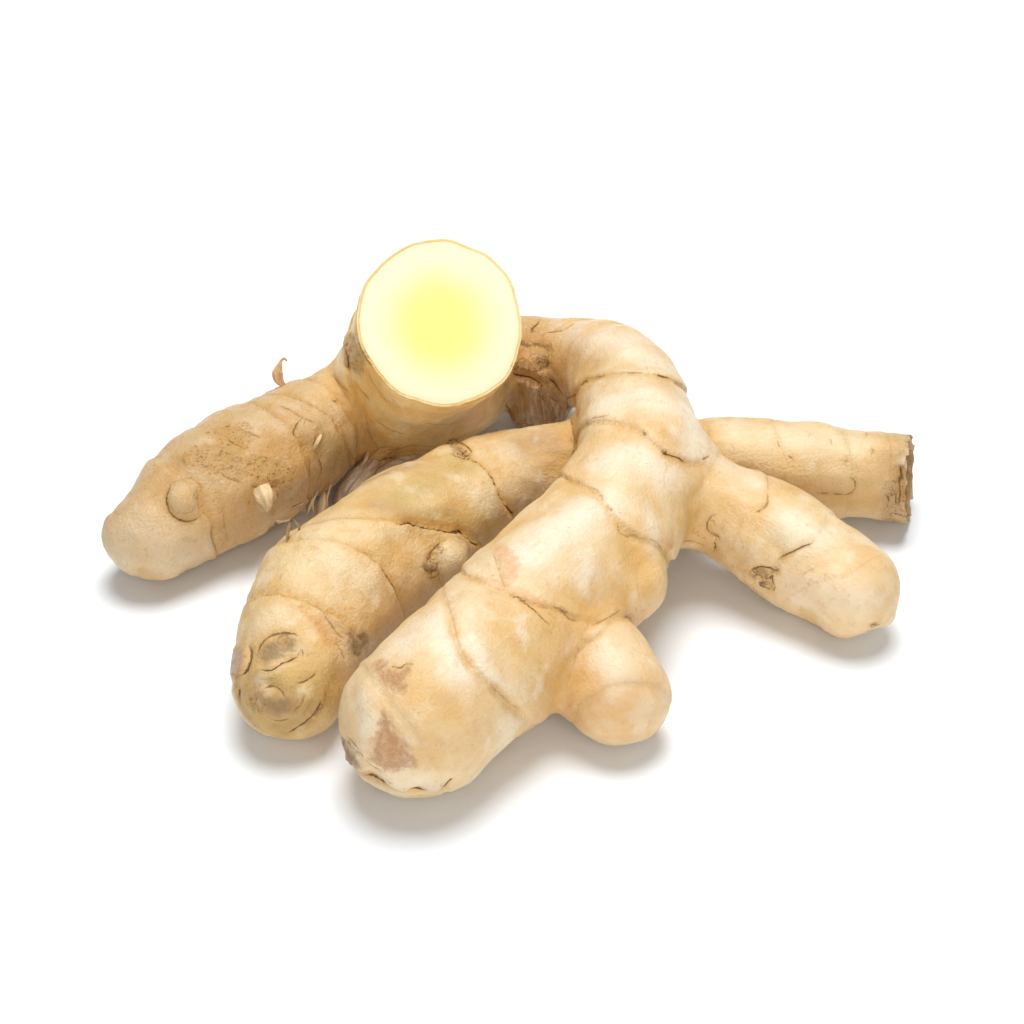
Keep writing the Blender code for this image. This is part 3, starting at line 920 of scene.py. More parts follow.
class Hand:
    """The skin of the whole hand, as a rule for how far any point is outside it."""

    def __init__(self, fingers: tuple[Finger, ...], buds: tuple[Bud, ...]) -> None:
        """Lays every finger's axis and ring scars."""
        self.fingers = {finger.name: finger for finger in fingers}
        self.buds = buds
        self.axes = {finger.name: Axis(finger.stations) for finger in fingers}
        self.lines = {finger.name: [RingLine(ring) for ring in finger.rings] for finger in fingers}

    def swelling(self, where: np.ndarray) -> np.ndarray:
        """Slow uneven swelling of the skin, with a finer one on top."""
        return noise_at(where, LUMP_LENGTH) * LUMP_HEIGHT + noise_at(where, DIMPLE_LENGTH) * DIMPLE_HEIGHT

    def fields(self, where: np.ndarray, swelling: np.ndarray) -> Fields:
        """How far points are from each finger and bud.

        Args:
            where: Points in millimetres.
            swelling: The skin's swelling there.

        Returns:
            The distances, the ways out and the places, by name.
        """
        found = Fields({}, {}, {})
        for name, axis in self.axes.items():
            place = axis.nearest(where)
            radius = np.interp(place.along, axis.along, axis.radii)
            for line in self.lines[name]:
                radius = radius + line.ledge(place)
            found.gaps[name] = place.distance - radius - swelling
            found.ways[name] = place.outward
            found.places[name] = place
        for bud in self.buds:
            offset = where - np.array(bud.middle)
            distance = np.maximum(np.linalg.norm(offset, axis=1), NEARLY_NOTHING)
            found.gaps[bud.name] = distance - bud.radius - swelling
            found.ways[bud.name] = offset / distance[:, None]
        return found

    def distance(self, where: np.ndarray, swelling: np.ndarray) -> tuple[np.ndarray, np.ndarray]:
        """How far points are outside the skin, and the way out.

        Args:
            where: Points in millimetres.
            swelling: The skin's swelling there.

        Returns:
            The signed distances, and a unit vector for each point.
        """
        fields = self.fields(where, swelling)
        best = np.full(len(where), np.inf)
        way = np.zeros((len(where), 3))
        for one, other, blend in (*JOINS, *((bud.finger, bud.name, bud.blend) for bud in self.buds)):
            near, far = fields.gaps[one], fields.gaps[other]
            share = np.clip(0.5 + 0.5 * (far - near) / blend, 0, 1)
            joined = far + (near - far) * share - blend * share * (1 - share)
            joined_way = fields.ways[other] * (1 - share)[:, None] + fields.ways[one] * share[:, None]
            closer = joined < best
            best[closer] = joined[closer]
            way[closer] = joined_way[closer]
        lengths = np.maximum(np.linalg.norm(way, axis=1), SHORTEST_WAY)
        return best, way / lengths[:, None]

    def beads(self) -> bpy.types.Mesh:
        """Lays overlapping balls along every axis.

        Returns:
            The rough body that the remesh fuses into one.
        """
        bm = bmesh.new()
        every = round(BEAD_SPACING / AXIS_STEP)
        balls = [(bud.middle, bud.radius) for bud in self.buds]
        for axis in self.axes.values():
            last = len(axis.points) - 1
            balls += [(axis.points[i], float(axis.radii[i])) for i in (*range(0, last, every), last)]
        for middle, radius in balls:
            bmesh.ops.create_icosphere(bm, subdivisions=3, radius=radius, matrix=Matrix.Translation(middle))
        return mesh_from(bm, "beads")


def mesh_from(bm: bmesh.types.BMesh, name: str) -> bpy.types.Mesh:
    """Makes a mesh from a bmesh, which is freed."""
    mesh = bpy.data.meshes.new(name)
    bm.to_mesh(mesh)
    bm.free()
    return mesh


def show(name: str, mesh: bpy.types.Mesh) -> bpy.types.Object:
    """An object of that mesh in the scene."""
    obj = bpy.data.objects.new(name, mesh)
    bpy.context.scene.collection.objects.link(obj)
    return obj


def places_of(mesh: bpy.types.Mesh) -> np.ndarray:
    """The mesh's vertices as rows of x, y and z."""
    flat = np.empty(len(mesh.vertices) * 3)
    mesh.vertices.foreach_get("co", flat)
    return flat.reshape(-1, 3)


def move_to(mesh: bpy.types.Mesh, where: np.ndarray) -> None:
    """Puts the mesh's vertices at those places."""
    mesh.vertices.foreach_set("co", where.ravel())
    mesh.update()


def normals_of(mesh: bpy.types.Mesh) -> np.ndarray:
    """The mesh's vertex normals."""
    flat = np.empty(len(mesh.vertices) * 3)
    mesh.vertex_normals.foreach_get("vector", flat)
    return flat.reshape(-1, 3)


def apply_modifiers(obj: bpy.types.Object) -> None:
    """Applies an object's modifiers to its mesh."""
    graph = bpy.context.evaluated_depsgraph_get()
    mesh = bpy.data.meshes.new_from_object(obj.evaluated_get(graph))
    obj.modifiers.clear()
    obj.data = mesh


def shade_smooth(bm: bmesh.types.BMesh) -> None:
    """Marks every face as smooth."""
    for face in bm.faces:
        face.smooth = True


@dataclass(frozen=True)
class Viewpoint:
    """The picture's camera, in millimetres and degrees."""

    target: Point = (-0.52, 9.27, 12.0)
    elevation: float = 36.0
    distance: float = 569.0
    lens: float = 100.0
    sensor: float = 36.0
    frame_side: float = 1024.0

    @property
    def back(self) -> np.ndarray:
        """The way from the target to the eye."""
        lift = math.radians(self.elevation)
        return np.array([0.0, -math.cos(lift), math.sin(lift)])

    @property
    def up(self) -> np.ndarray:
        """The picture's upward direction."""
        return np.cross(self.back, (1.0, 0.0, 0.0))

    @property
    def eye(self) -> np.ndarray:
        """Where the camera stands."""
        return np.array(self.target) + self.distance * self.back

    @property
    def focal(self) -> float:
        """The lens's focal length in pixels."""
        return self.lens / self.sensor * self.frame_side

    def ray(self, spot: Spot) -> np.ndarray:
        """The way from the eye through a point of the picture."""
        middle = self.frame_side / 2
        across, down = (spot[0] - middle) / self.focal, (spot[1] - middle) / self.focal
        way = np.array([across, 0.0, 0.0]) - down * self.up - self.back
        return way / np.linalg.norm(way)

    def spots(self, where: np.ndarray) -> np.ndarray:
        """Finds where points appear in the picture.

        Args:
            where: Points in millimetres.

        Returns:
            One point of the picture for each.
        """
        offset = where - self.eye
        depth = -(offset @ self.back)
        across = offset[:, 0] / depth * self.focal
        down = -(offset @ self.up) / depth * self.focal
        return np.stack([across, down], axis=1) + self.frame_side / 2

    def build(self) -> None:
        """Sets up the scene's camera."""
        data = bpy.data.cameras.new("camera")
        data.lens = self.lens
        data.sensor_width = self.sensor
        data.clip_start = 0.01
        camera = bpy.data.objects.new("camera", data)
        camera.location = Vector(self.eye) * MM
        camera.rotation_mode = "QUATERNION"
        camera.rotation_quaternion = Vector(-self.back).to_track_quat("-Z", "Y")
        bpy.context.scene.collection.objects.link(camera)
        bpy.context.scene.camera = camera


class Picture:
    """Lays points of the picture on the skin."""

    def __init__(self, view: Viewpoint, mesh: bpy.types.Mesh, shift: np.ndarray) -> None:
        """Takes in the skin's mesh, and how far it has to be shifted into the frame's place."""
        self.view = view
        self.shift = shift
        self.eye = view.eye - shift
        self.tree = BVHTree.FromPolygons(places_of(mesh).tolist(), [tuple(p.vertices) for p in mesh.polygons])

    def touch(self, spot: Spot) -> tuple[np.ndarray, np.ndarray] | None:
        """The skin's place and normal at a point of the picture, if the skin is there."""
        place, normal, _, _ = self.tree.ray_cast(Vector(self.eye), Vector(self.view.ray(spot)))
        return None if place is None else (np.array(place), np.array(normal))

    def trail(self, seen: Trail, step: float) -> tuple[np.ndarray, np.ndarray]:
        """The skin's places and normals along a line of the picture, a step of pixels apart."""
        touched = [self.touch(tuple(spot)) for spot in curve_through(np.array(seen, float), step)]
        found = [pair for pair in touched if pair]
        return np.array([place for place, _ in found]), np.array([normal for _, normal in found])

    def stroke(self, seen: Trail, reach: float, where: np.ndarray) -> np.ndarray:
        """A soft share that is 1 on a stroke of the picture and fades out beside it.

        Args:
            seen: The stroke.
            reach: How far it fades out, in millimetres.
            where: Points of the skin.

        Returns:
            The share at each point.
        """
        places, _ = self.trail(seen, STROKE_STEP)
        if not len(places):
            LOG.info("a stroke isn't on the skin: %s", seen[0])
            return np.zeros(len(where))
        gap = np.full(len(where), np.inf)
        for place in places:
            gap = np.minimum(gap, ((where - place) ** 2).sum(1))
        return np.exp(-gap / (reach * reach * 0.5))

    def beside(self, foot: Spot, spots: tuple[Point, ...]) -> np.ndarray:
        """Places at the depth of the skin under a foot.

        Args:
            foot: A point of the picture on the skin.
            spots: Points of the picture, each with the millimetres that it is nearer to the eye.

        Returns:
            One place for each spot.
        """
        back = self.view.back
        depth = (self.eye - self.touch(foot)[0]) @ back
        rays = [(self.view.ray((x, y)), nearer) for x, y, nearer in spots]
        return np.array([self.eye + ray * (depth - nearer) / -(ray @ back) for ray, nearer in rays])

    def inside(self, outline: Trail, where: np.ndarray) -> np.ndarray:
        """How far points of the skin are inside an outline of the picture.

        Args:
            outline: The outline's corners.
            where: Points of the skin.

        Returns:
            Millimetres inside it, less than 0 outside, and the least where the point is hidden.
        """
        spots = self.view.spots(where + self.shift)
        start = np.array(outline, float)
        low, high = start.min(0) - FAR_GAP / PIXEL, start.max(0) + FAR_GAP / PIXEL
        near = np.flatnonzero(((spots > low) & (spots < high)).all(1))
        end = np.roll(start, -1, axis=0)
        edge = end - start
        offset = spots[near][:, None] - start[None]
        share = np.clip((offset * edge).sum(2) / (edge**2).sum(1), 0, 1)
        away = np.linalg.norm(offset - share[..., None] * edge, axis=2).min(1)
        level = spots[near][:, 1][:, None]
        spans = (start[:, 1] > level) != (end[:, 1] > level)
        slope = edge[:, 0] / np.where(edge[:, 1] == 0, NEARLY_NOTHING, edge[:, 1])
        left_of = spots[near][:, 0][:, None] < start[:, 0] + slope * (level - start[:, 1])
        within = (spans & left_of).sum(1) % 2 == 1
        depth = np.full(len(where), -FAR_GAP)
        for index, value in zip(near, np.where(within, away, -away) * PIXEL):
            if value > -FAR_GAP and self.sees(where[index]):
                depth[index] = min(value, FAR_GAP)
        return depth

    def sees(self, point: np.ndarray) -> bool:
        """True if nothing hides a point of the skin from the eye."""
        way = Vector(point - self.eye)
        distance = self.tree.ray_cast(Vector(self.eye), way.normalized())[3]
        return distance is None or distance > way.length - HIDDEN_BY


class Graph:
    """A material's nodes, written as sums."""

    def __init__(self, name: str) -> None:
        """Starts a material with a Principled shader."""
        self.material = bpy.data.materials.new(name)
        self.material.use_nodes = True
        self.tree = self.material.node_tree
        self.shader = self.tree.nodes["Principled BSDF"]

    def node(self, kind: str, inputs: dict, **settings: object) -> bpy.types.Node:
        """Adds a node.

        Args:
            kind: The node's type, without ShaderNode.
            inputs: Values or sockets, by the input's name or number.
            settings: The node's own properties.

        Returns:
            The new node.
        """
        made = self.tree.nodes.new("ShaderNode" + kind)
        for key, value in settings.items():
            setattr(made, key, value)
        self.feed(made, inputs)
        return made

    def feed(self, node: bpy.types.Node, inputs: dict) -> None:
        """Sets or links a node's inputs.

        Args:
            node: The node.
            inputs: Values or sockets, by the input's name or number.
        """
        for key, value in inputs.items():
            if isinstance(value, bpy.types.NodeSocket):
                self.tree.links.new(value, node.inputs[key])
            else:
                node.inputs[key].default_value = value

    def math(self, operation: str, *values: object, clamp: bool = False) -> bpy.types.NodeSocket:
        """A sum of one, two or three values."""
        node = self.node("Math", dict(enumerate(values)), operation=operation, use_clamp=clamp)
        return node.outputs[0]

    def mix(self, share: object, low: object, high: object, blend: str = "MIX") -> bpy.types.NodeSocket:
        """A colour between two others."""
        ends = [(*end, 1.0) if isinstance(end, tuple) else end for end in (low, high)]
        node = self.node("Mix", {0: share, 6: ends[0], 7: ends[1]}, data_type="RGBA", blend_type=blend)
        return node.outputs[2]

    def band(self, value: object, low: float, high: float) -> bpy.types.NodeSocket:
        """Rises smoothly from 0 at low to 1 at high."""
        inputs = {"Value": value, "From Min": low, "From Max": high}
        return self.node("MapRange", inputs, interpolation_type="SMOOTHSTEP").outputs[0]

    def attribute(self, name: str) -> bpy.types.Node:
        """A node that reads an attribute of the mesh."""
        return self.node("Attribute", {}, attribute_name=name)

    def value(self, name: str) -> bpy.types.NodeSocket:
        """An attribute of one number."""
        return self.attribute(name).outputs["Fac"]

    def place(self) -> bpy.types.NodeSocket:
        """The place on the object, in millimetres."""
        where = self.node("TexCoord", {}).outputs["Object"]
        return self.node("VectorMath", {0: where, "Scale": 1 / MM}, operation="SCALE").outputs[0]

    def noise(
        self, where: object, scale: float, detail: float = 3.0, rough: float = 0.55
    ) -> bpy.types.NodeSocket:
        """Noise between 0 and 1, with its scale for each millimetre."""
        inputs = {"Vector": where, "Scale": scale, "Detail": detail, "Roughness": rough}
        return self.node("TexNoise", inputs).outputs[0]

    def finish(
        self, colour: object, roughness: object, height: object, **sockets: object
    ) -> bpy.types.Material:
        """Feeds the shader.

        Args:
            colour: The base colour.
            roughness: The roughness.
            height: The bump's height in millimetres, or None.
            sockets: Other inputs of the shader, with spaces as underscores.

        Returns:
            The finished material.
        """
        self.feed(self.shader, {"Base Color": colour, "Roughness": roughness})
        self.feed(self.shader, {key.replace("_", " "): value for key, value in sockets.items()})
        if height is not None:
            bump = self.node("Bump", {"Height": height, "Distance": MM, "Strength": 1.0})
            self.feed(self.shader, {"Normal": bump.outputs[0]})
        return self.material


class SkinGraph(Graph):
    """The skin's nodes: the noises that its layers share, and its colour and height as they build up."""

    def __init__(self, name: str) -> None:
        """Starts with the shared noises and the skin's finest relief."""
        super().__init__(name)
        self.where = self.place()
        self.mottle = self.noise(self.where, 0.4, 5.0, 0.62)
        grain = self.attribute("grain").outputs["Vector"]
        stretched = self.node("Mapping", {"Vector": grain, "Scale": (0.1, 1.0, 1.0)}).outputs[0]
        self.streak = self.noise(stretched, 1.3, 4.0, 0.6)
        self.ragged = self.math("SUBTRACT", self.noise(self.where, 0.5, 6.0, 0.72), 0.5)
        self.colour = None
        self.height = 0.0
        for noise_socket, height in (
            (self.streak, 0.1),
            (self.mottle, 0.22),
            (self.noise(self.where, 1.9, 4.0, 0.62), 0.05),
        ):
            self.lift(noise_socket, height)

    def cover(self, share: object, shade: Colour, most: float = 1.0) -> None:
        """Lays a shade over the colour, with the most of it where the share is 1."""
        self.colour = self.mix(self.math("MULTIPLY", share, most, clamp=True), self.colour, shade)

    def lift(self, share: object, height: float) -> None:
        """Raises the bump by a height in millimetres where the share is 1."""
        self.height = self.math("MULTIPLY_ADD", share, height, self.height)

    def ragged_band(self, name: str, depth: float, low: float, high: float) -> bpy.types.NodeSocket:
        """A patch's share, with its edge made ragged over some millimetres."""
        return self.band(self.math("MULTIPLY_ADD", self.ragged, depth, self.value(name)), low, high)


@dataclass(frozen=True)
class SkinFinish:
    """Thin waxy skin: cream plateaus, ochre hollows, streaks along the finger, scar lines and scabs.

    The plateaus' lighter tone is mostly painted highlight, and the hollows' darker tone painted shade.
    """

    cream: Colour = (0.87, 0.67, 0.4)
    ochre: Colour = (0.8, 0.53, 0.24)
    # Also the colour of the painted highlights on the plateaus.
    pale: Colour = (0.95, 0.84, 0.66)
    # Also the colour of the painted shade in the hollows, beside the lines and in the seams.
    tan: Colour = (0.72, 0.41, 0.11)
    olive: Colour = (0.52, 0.36, 0.1)
    brown: Colour = (0.42, 0.24, 0.1)
    line: Colour = (0.15, 0.065, 0.02)
    stain: Colour = (0.5, 0.24, 0.09)
    orange: Colour = (0.7, 0.31, 0.1)
    grey: Colour = (0.29, 0.19, 0.075)
    scab: Colour = (0.17, 0.085, 0.035)
    flake: Colour = (0.42, 0.23, 0.13)
    tone_cover: float = 0.85
    streaking: float = 0.22
    mottling: float = 0.35
    bleaching: float = 0.4
    # How much painted shade the hollows take.
    hollow_shade_cover: float = 0.7
    # How much painted warm shade lies beside the ring scars and in the seams.
    warm_shading: float = 0.55
    line_width: float = 0.15
    line_depth: float = 0.22
    # How much painted shade the halo beside each line lays.
    halo_shade_cover: float = 0.5
    rash_cover: float = 0.45
    pit_cover: float = 0.75
    pit_depth: float = 0.15
    dot_cover: float = 0.45
    roughness: float = 0.4

    def tones(self) -> dict[Tone, Colour]:
        """The soft tones' colours, from the lowest layer to the highest."""
        return {Tone.TAN: self.tan, Tone.OLIVE: self.olive, Tone.BROWN: self.brown, Tone.PALE: self.pale}

    def patches(self) -> list[tuple[Kind, Colour, float]]:
        """The ragged patches, with their colours and the most that each may cover."""
        return [
            (Kind.ORANGE, self.orange, 0.55),
            (Kind.STAIN, self.stain, 0.85),
            (Kind.GREY, self.grey, 0.75),
            (Kind.FLAKE, self.flake, 0.85),
            (Kind.SCAB, self.scab, 0.65),
            (Kind.WARTS, self.tan, 0.5),
        ]

    def lay_ground(self, graph: SkinGraph) -> None:
        """Lays the cream and ochre ground, the soft tones, the streaks and the painted shade.

        The painted shade darkens the hollows, the skin beside the ring scars and the seams between fingers.

        Args:
            graph: The skin's nodes.
        """
        slow = graph.noise(graph.where, 0.07, 4.0, 0.6)
        graph.colour = graph.mix(graph.band(slow, 0.38, 0.62), self.cream, self.ochre)
        uneven = graph.math("MULTIPLY_ADD", graph.mottle, 0.9, 0.55)
        for tone, shade in self.tones().items():
            share = graph.math("MULTIPLY", graph.value(tone.value), uneven, clamp=True)
            graph.cover(share, shade, self.tone_cover)
        graph.cover(graph.band(graph.streak, 0.5, 0.74), self.tan, self.streaking)
        fibre = graph.value("fibre")
        graph.cover(graph.math("MULTIPLY", graph.band(graph.streak, 0.5, 0.62), fibre), self.brown)
        graph.cover(graph.math("MULTIPLY", graph.band(graph.streak, 0.48, 0.38), fibre), self.pale)
        graph.cover(graph.band(graph.mottle, 0.52, 0.74), self.tan, self.mottling)
        graph.cover(graph.band(graph.noise(graph.where, 0.16, 3.0), 0.48, 0.3), self.pale, self.bleaching)
        # Painted shade in the hollows, where the skin lies under its smoothed shape.
        uneven = graph.math("MULTIPLY_ADD", graph.mottle, 1.2, 0.3)
        hollow = graph.math("MULTIPLY", graph.value("hollow"), uneven, clamp=True)
        graph.cover(hollow, self.tan, self.hollow_shade_cover)
        # The fingers' tints; the cut knuckle's is painted bounce light.
        graph.colour = graph.mix(1.0, graph.colour, graph.attribute("tint").outputs["Color"], "MULTIPLY")
        # Painted warm shade beside the ring scars and in the seams between fingers.
        warmth = graph.math("MULTIPLY", graph.value("warmth"), graph.band(graph.mottle, 0.32, 0.68))
        graph.cover(warmth, self.tan, self.warm_shading)

    def lay_patches(self, graph: SkinGraph) -> None:
        """Lays the ragged, clouded patches.

        Args:
            graph: The skin's nodes.
        """
        cloud = graph.noise(graph.where, 0.8, 5.0, 0.7)
        clouded = graph.math("MULTIPLY_ADD", cloud, 2.6, -0.35, clamp=True)
        for kind, shade, most in self.patches():
            share = graph.math("MULTIPLY", graph.ragged_band(kind.value, 5.0, -0.7, 1.1), clouded)
            graph.cover(share, shade, most)

    def draw_lines(self, graph: SkinGraph) -> None:
        """Draws the ring scars and creases as thin, broken dark lines, each in a soft tan halo of painted
        shade.

        Args:
            graph: The skin's nodes.
        """
        where = graph.where
        wander = graph.math("MULTIPLY", graph.math("SUBTRACT", graph.noise(where, 1.6, 2.0), 0.5), 0.45)
        broken = graph.band(graph.noise(where, 0.45, 4.0, 0.75), 0.3, 0.58)
        thick = graph.math("MULTIPLY_ADD", graph.noise(where, 0.7, 2.0), 2.2, -0.1)
        for name in ("ring", "crease"):
            gap = graph.math("ABSOLUTE", graph.math("ADD", graph.value(name), wander))
            gap = graph.math("DIVIDE", gap, thick)
            mark = graph.value(name + "_mark")
            whole = graph.math("MAXIMUM", broken, graph.band(mark, 0.6, 0.95))
            on_line = graph.band(gap, self.line_width * 1.7, self.line_width * 0.35)
            share = graph.math("MULTIPLY", on_line, graph.math("MULTIPLY", mark, whole), clamp=True)
            # The halo: painted shade beside each line.
            near = graph.band(gap, self.line_width * 9, 0.0)
            graph.cover(graph.math("MULTIPLY", near, mark), self.tan, self.halo_shade_cover)
            # The dark lines: real scars, and along folds and gaps partly painted shade.
            graph.cover(share, self.line)
            graph.lift(share, -self.line_depth)

    def add_spots(self, graph: SkinGraph) -> bpy.types.NodeSocket:
        """Adds the dry end's rash, warts, pits and dots.

        Args:
            graph: The skin's nodes.

        Returns:
            The roughness.
        """
        speck = graph.node("TexVoronoi", {"Vector": graph.where, "Scale": 0.5}).outputs["Distance"]
        few = graph.band(graph.noise(graph.where, 0.17, 2.0), 0.5, 0.62)
        grains = graph.noise(graph.where, 1.5, 4.0, 0.7)
        rash = graph.ragged_band(Kind.SPECKS.value, 7.0, -1.2, 1.6)
        warty = graph.ragged_band(Kind.WARTS.value, 5.0, -0.6, 1.0)
        pores = graph.value("pores")
        pored = graph.math("MULTIPLY", pores, graph.band(graph.mottle, 0.42, 0.62))
        spotted = graph.math("MAXIMUM", rash, warty)
        spotted = graph.math("MAXIMUM", spotted, graph.math("MULTIPLY", pored, 0.6))
        pits = graph.math("MULTIPLY", graph.band(grains, 0.56, 0.63), spotted)
        graph.cover(rash, self.brown, self.rash_cover)
        graph.cover(pits, self.scab, self.pit_cover)
        dots = graph.math("MULTIPLY", graph.band(speck, 0.13, 0.05), few)
        graph.cover(dots, self.stain, self.dot_cover)
        graph.lift(graph.math("MULTIPLY", grains, graph.math("MAXIMUM", pores, warty)), 0.8)
        graph.lift(pits, -self.pit_depth)
        dry = graph.math("MAXIMUM", rash, graph.math("MULTIPLY", graph.value(Tone.BROWN.value), 0.6))
        rough = graph.math("MULTIPLY_ADD", graph.mottle, 0.25, self.roughness - 0.12)
        return graph.math("MULTIPLY_ADD", dry, 0.3, rough)

    def material(self) -> bpy.types.Material:
        """The skin's material, which reads the body's attributes."""
        graph = SkinGraph("turmeric_skin")
        self.lay_ground(graph)
        self.lay_patches(graph)
        self.draw_lines(graph)
        rough = self.add_spots(graph)
        return graph.finish(
            graph.colour,
            rough,
            graph.height,
            Subsurface_Weight=0.15,
            Subsurface_Radius=(1.0, 0.5, 0.2),
            Subsurface_Scale=0.0025,
            Specular_IOR_Level=0.6,
            Coat_Weight=0.12,
            Coat_Roughness=0.32,
        )


@dataclass(frozen=True)
class FleshFinish:
    """Freshly cut flesh: ivory with a soft lemon core, moist."""

    rim: Colour = (0.93, 0.84, 0.46)
    ivory: Colour = (0.95, 0.92, 0.6)
    core: Colour = (0.95, 0.9, 0.27)
    roughness: float = 0.35

    def material(self) -> bpy.types.Material:
        """The cut flesh's material, which reads how far in from the rim the face is."""
        graph = Graph("turmeric_flesh")
        where = graph.place()
        cloud = graph.math("MULTIPLY", graph.math("SUBTRACT", graph.noise(where, 0.12, 3.0), 0.5), 0.16)
        deep = graph.math("ADD", graph.value("depth"), cloud)
        colour = graph.mix(graph.band(deep, 0.1, 0.72), self.ivory, self.core)
        colour = graph.mix(graph.math("MULTIPLY", graph.band(deep, 0.1, 0.0), 0.6), colour, self.rim)
        fibre = graph.noise(where, 1.6, 4.0, 0.6)
        colour = graph.mix(graph.math("MULTIPLY", graph.band(fibre, 0.55, 0.8), 0.08), colour, self.core)
        return graph.finish(
            colour,
            self.roughness,
            graph.math("MULTIPLY", fibre, 0.06),
            Subsurface_Weight=0.25,
            Subsurface_Radius=(1.0, 0.8, 0.3),
            Subsurface_Scale=0.004,
        )


@dataclass(frozen=True)
class DryFinish:
    """Dry papery root or scale, streaked along its length, darker at its tip."""

    name: str = "dry_root"
    light: Colour = (0.56, 0.36, 0.18)
    dark: Colour = (0.24, 0.13, 0.06)
    tip: Colour = (0.1, 0.06, 0.035)
    charring: float = 0.6
    roughness: float = 0.7

    def material(self) -> bpy.types.Material:
        """The strand's material, which reads how far along the strand the surface is."""
        graph = Graph(self.name)
        where = graph.place()
        run = graph.attribute("run").outputs["Vector"]
        stretched = graph.node("Mapping", {"Vector": run, "Scale": (0.12, 1.0, 1.0)}).outputs[0]
        streak = graph.noise(stretched, 2.6, 4.0, 0.65)
        colour = graph.mix(graph.band(streak, 0.36, 0.64), self.light, self.dark)
        blotch = graph.band(graph.noise(where, 1.2), 0.5, 0.7)
        colour = graph.mix(graph.math("MULTIPLY", blotch, 0.4), colour, self.dark)
        end = graph.math("MULTIPLY", graph.band(graph.value("share"), 0.7, 1.0), self.charring)
        colour = graph.mix(end, colour, self.tip)
        height = graph.math("MULTIPLY", streak, 0.3)
        return graph.finish(colour, self.roughness, height, Specular_IOR_Level=0.3)


@dataclass(frozen=True)
class FlatCut:
    """A flat cut: a point on it, the way it faces, and the side of the block that it takes away."""

    point: Point
    facing: Point
    side: float

    @property
    def out(self) -> Vector:
        """The way that the cut faces."""
        return Vector(self.facing).normalized()

    def slice(self, bm: bmesh.types.BMesh) -> list[bmesh.types.BMEdge]:
        """Takes away what stands past the cut.

        Args:
            bm: The mesh that is cut.

        Returns:
            The edges of the new rim.
        """
        turn = self.out.rotation_difference(Vector((0, 0, 1)))
        reach = self.side / 2
        local = {v: turn @ (v.co - Vector(self.point)) for v in bm.verts}
        block = {v for v, p in local.items() if max(abs(p.x), abs(p.y)) < reach and -reach < p.z < self.side}
        faces = [face for face in bm.faces if all(v in block for v in face.verts)]
        edges = dict.fromkeys(edge for face in faces for edge in face.edges)
        verts = dict.fromkeys(vert for face in faces for vert in face.verts)
        cut = bmesh.ops.bisect_plane(
            bm,
            geom=[*faces, *edges, *verts],
            dist=NEARLY_NOTHING,
            plane_co=self.point,
            plane_no=self.out,
            clear_outer=True,
        )
        return [item for item in cut["geom_cut"] if isinstance(item, bmesh.types.BMEdge)]


class Lines(NamedTuple):
    """Signed distances to the nearest line in the skin, its darkness, and its groove's depth."""

    gap: np.ndarray
    mark: np.ndarray
    groove: np.ndarray


@dataclass(frozen=True)
class Strand:
    """A dry root end, hair or curl, swept through places of the picture.

    Its spots are pixels with the millimetres that each is nearer to the eye than the skin at its foot.
    """

    foot: Spot
    spots: tuple[Point, ...]
    widths: tuple[float, ...]
    flat: float = 1.0
    ridges: float = 0.0
    sides: int = 10
    step: float = 0.3

    def sweep(self, bm: bmesh.types.BMesh, picture: Picture) -> None:
        """Adds the strand to a mesh as one closed skin.

        Args:
            bm: The mesh, whose layers take the run along and across and the share of the length.
            picture: Where the strand's places come from.
        """
        run = bm.verts.layers.float_vector["run"]
        share = bm.verts.layers.float["share"]
        knots = np.column_stack([picture.beside(self.foot, self.spots), self.widths])
        rows = curve_through(knots, self.step)
        tangents = np.gradient(rows[:, :3], axis=0)
        verts = bmesh.ops.create_circle(bm, cap_ends=True, segments=self.sides, radius=1.0)["verts"]
        face = verts[0].link_faces[0]
        for index, vert in enumerate(verts):
            vert.co *= 1 + self.ridges * (-1) ** index
        before = Matrix.Identity(4)
        for index, (row, tangent) in enumerate(zip(rows, tangents)):
            if index:
                made = bmesh.ops.extrude_face_region(bm, geom=[face])["geom"]
                if index > 1:
                    bmesh.ops.delete(bm, geom=[face], context="FACES_ONLY")
                face = next(item for item in made if isinstance(item, bmesh.types.BMFace))
            ring = list(face.verts)
            after = self.frame_at(row, Vector(tangent).normalized(), Vector(picture.view.back))
            bmesh.ops.transform(bm, matrix=after @ before.inverted(), verts=ring)
            before = after
            for number, vert in enumerate(ring):
                vert[run] = (index * self.step, 2.0 * row[3] * number / self.sides, 0.0)
                vert[share] = index / (len(rows) - 1)

    def frame_at(self, row: np.ndarray, along: Vector, towards_eye: Vector) -> Matrix:
        """Places the strand's section at one point of its path.

        Args:
            row: The place and the half width.
            along: The way of the path.
            towards_eye: The way to the eye.

        Returns:
            The place, turn and size of the section.
        """
        across = along.cross(towards_eye).normalized()
        out = across.cross(along).normalized()
        turn = Matrix((across * row[3], out * row[3] * self.flat, along)).transposed()
        return Matrix.Translation(Vector(row[:3])) @ turn.to_4x4()


@dataclass(frozen=True)
class Tuft:
    """A few strands that share one finish."""

    name: str
    strands: tuple[Strand, ...]
    finish: DryFinish

    def build(self, picture: Picture, place: Matrix) -> bpy.types.Object:
        """Makes the strands.

        Args:
            picture: Where their places come from.
            place: The hand's place in the frame.

        Returns:
            The strands as one piece.
        """
        bm = bmesh.new()
        bm.verts.layers.float_vector.new("run")
        bm.verts.layers.float.new("share")
        for strand in self.strands:
            strand.sweep(bm, picture)
        bmesh.ops.recalc_face_normals(bm, faces=bm.faces)
        bmesh.ops.transform(bm, matrix=place, verts=bm.verts)
        for vert in bm.verts:
            vert.co.z = max(vert.co.z, OVER_TABLE)
        shade_smooth(bm)
        tuft = show(self.name, mesh_from(bm, self.name))
        tuft.data.set_sharp_from_angle(angle=STRAND_ANGLE)
        tuft.data.materials.append(self.finish.material())
        return tuft


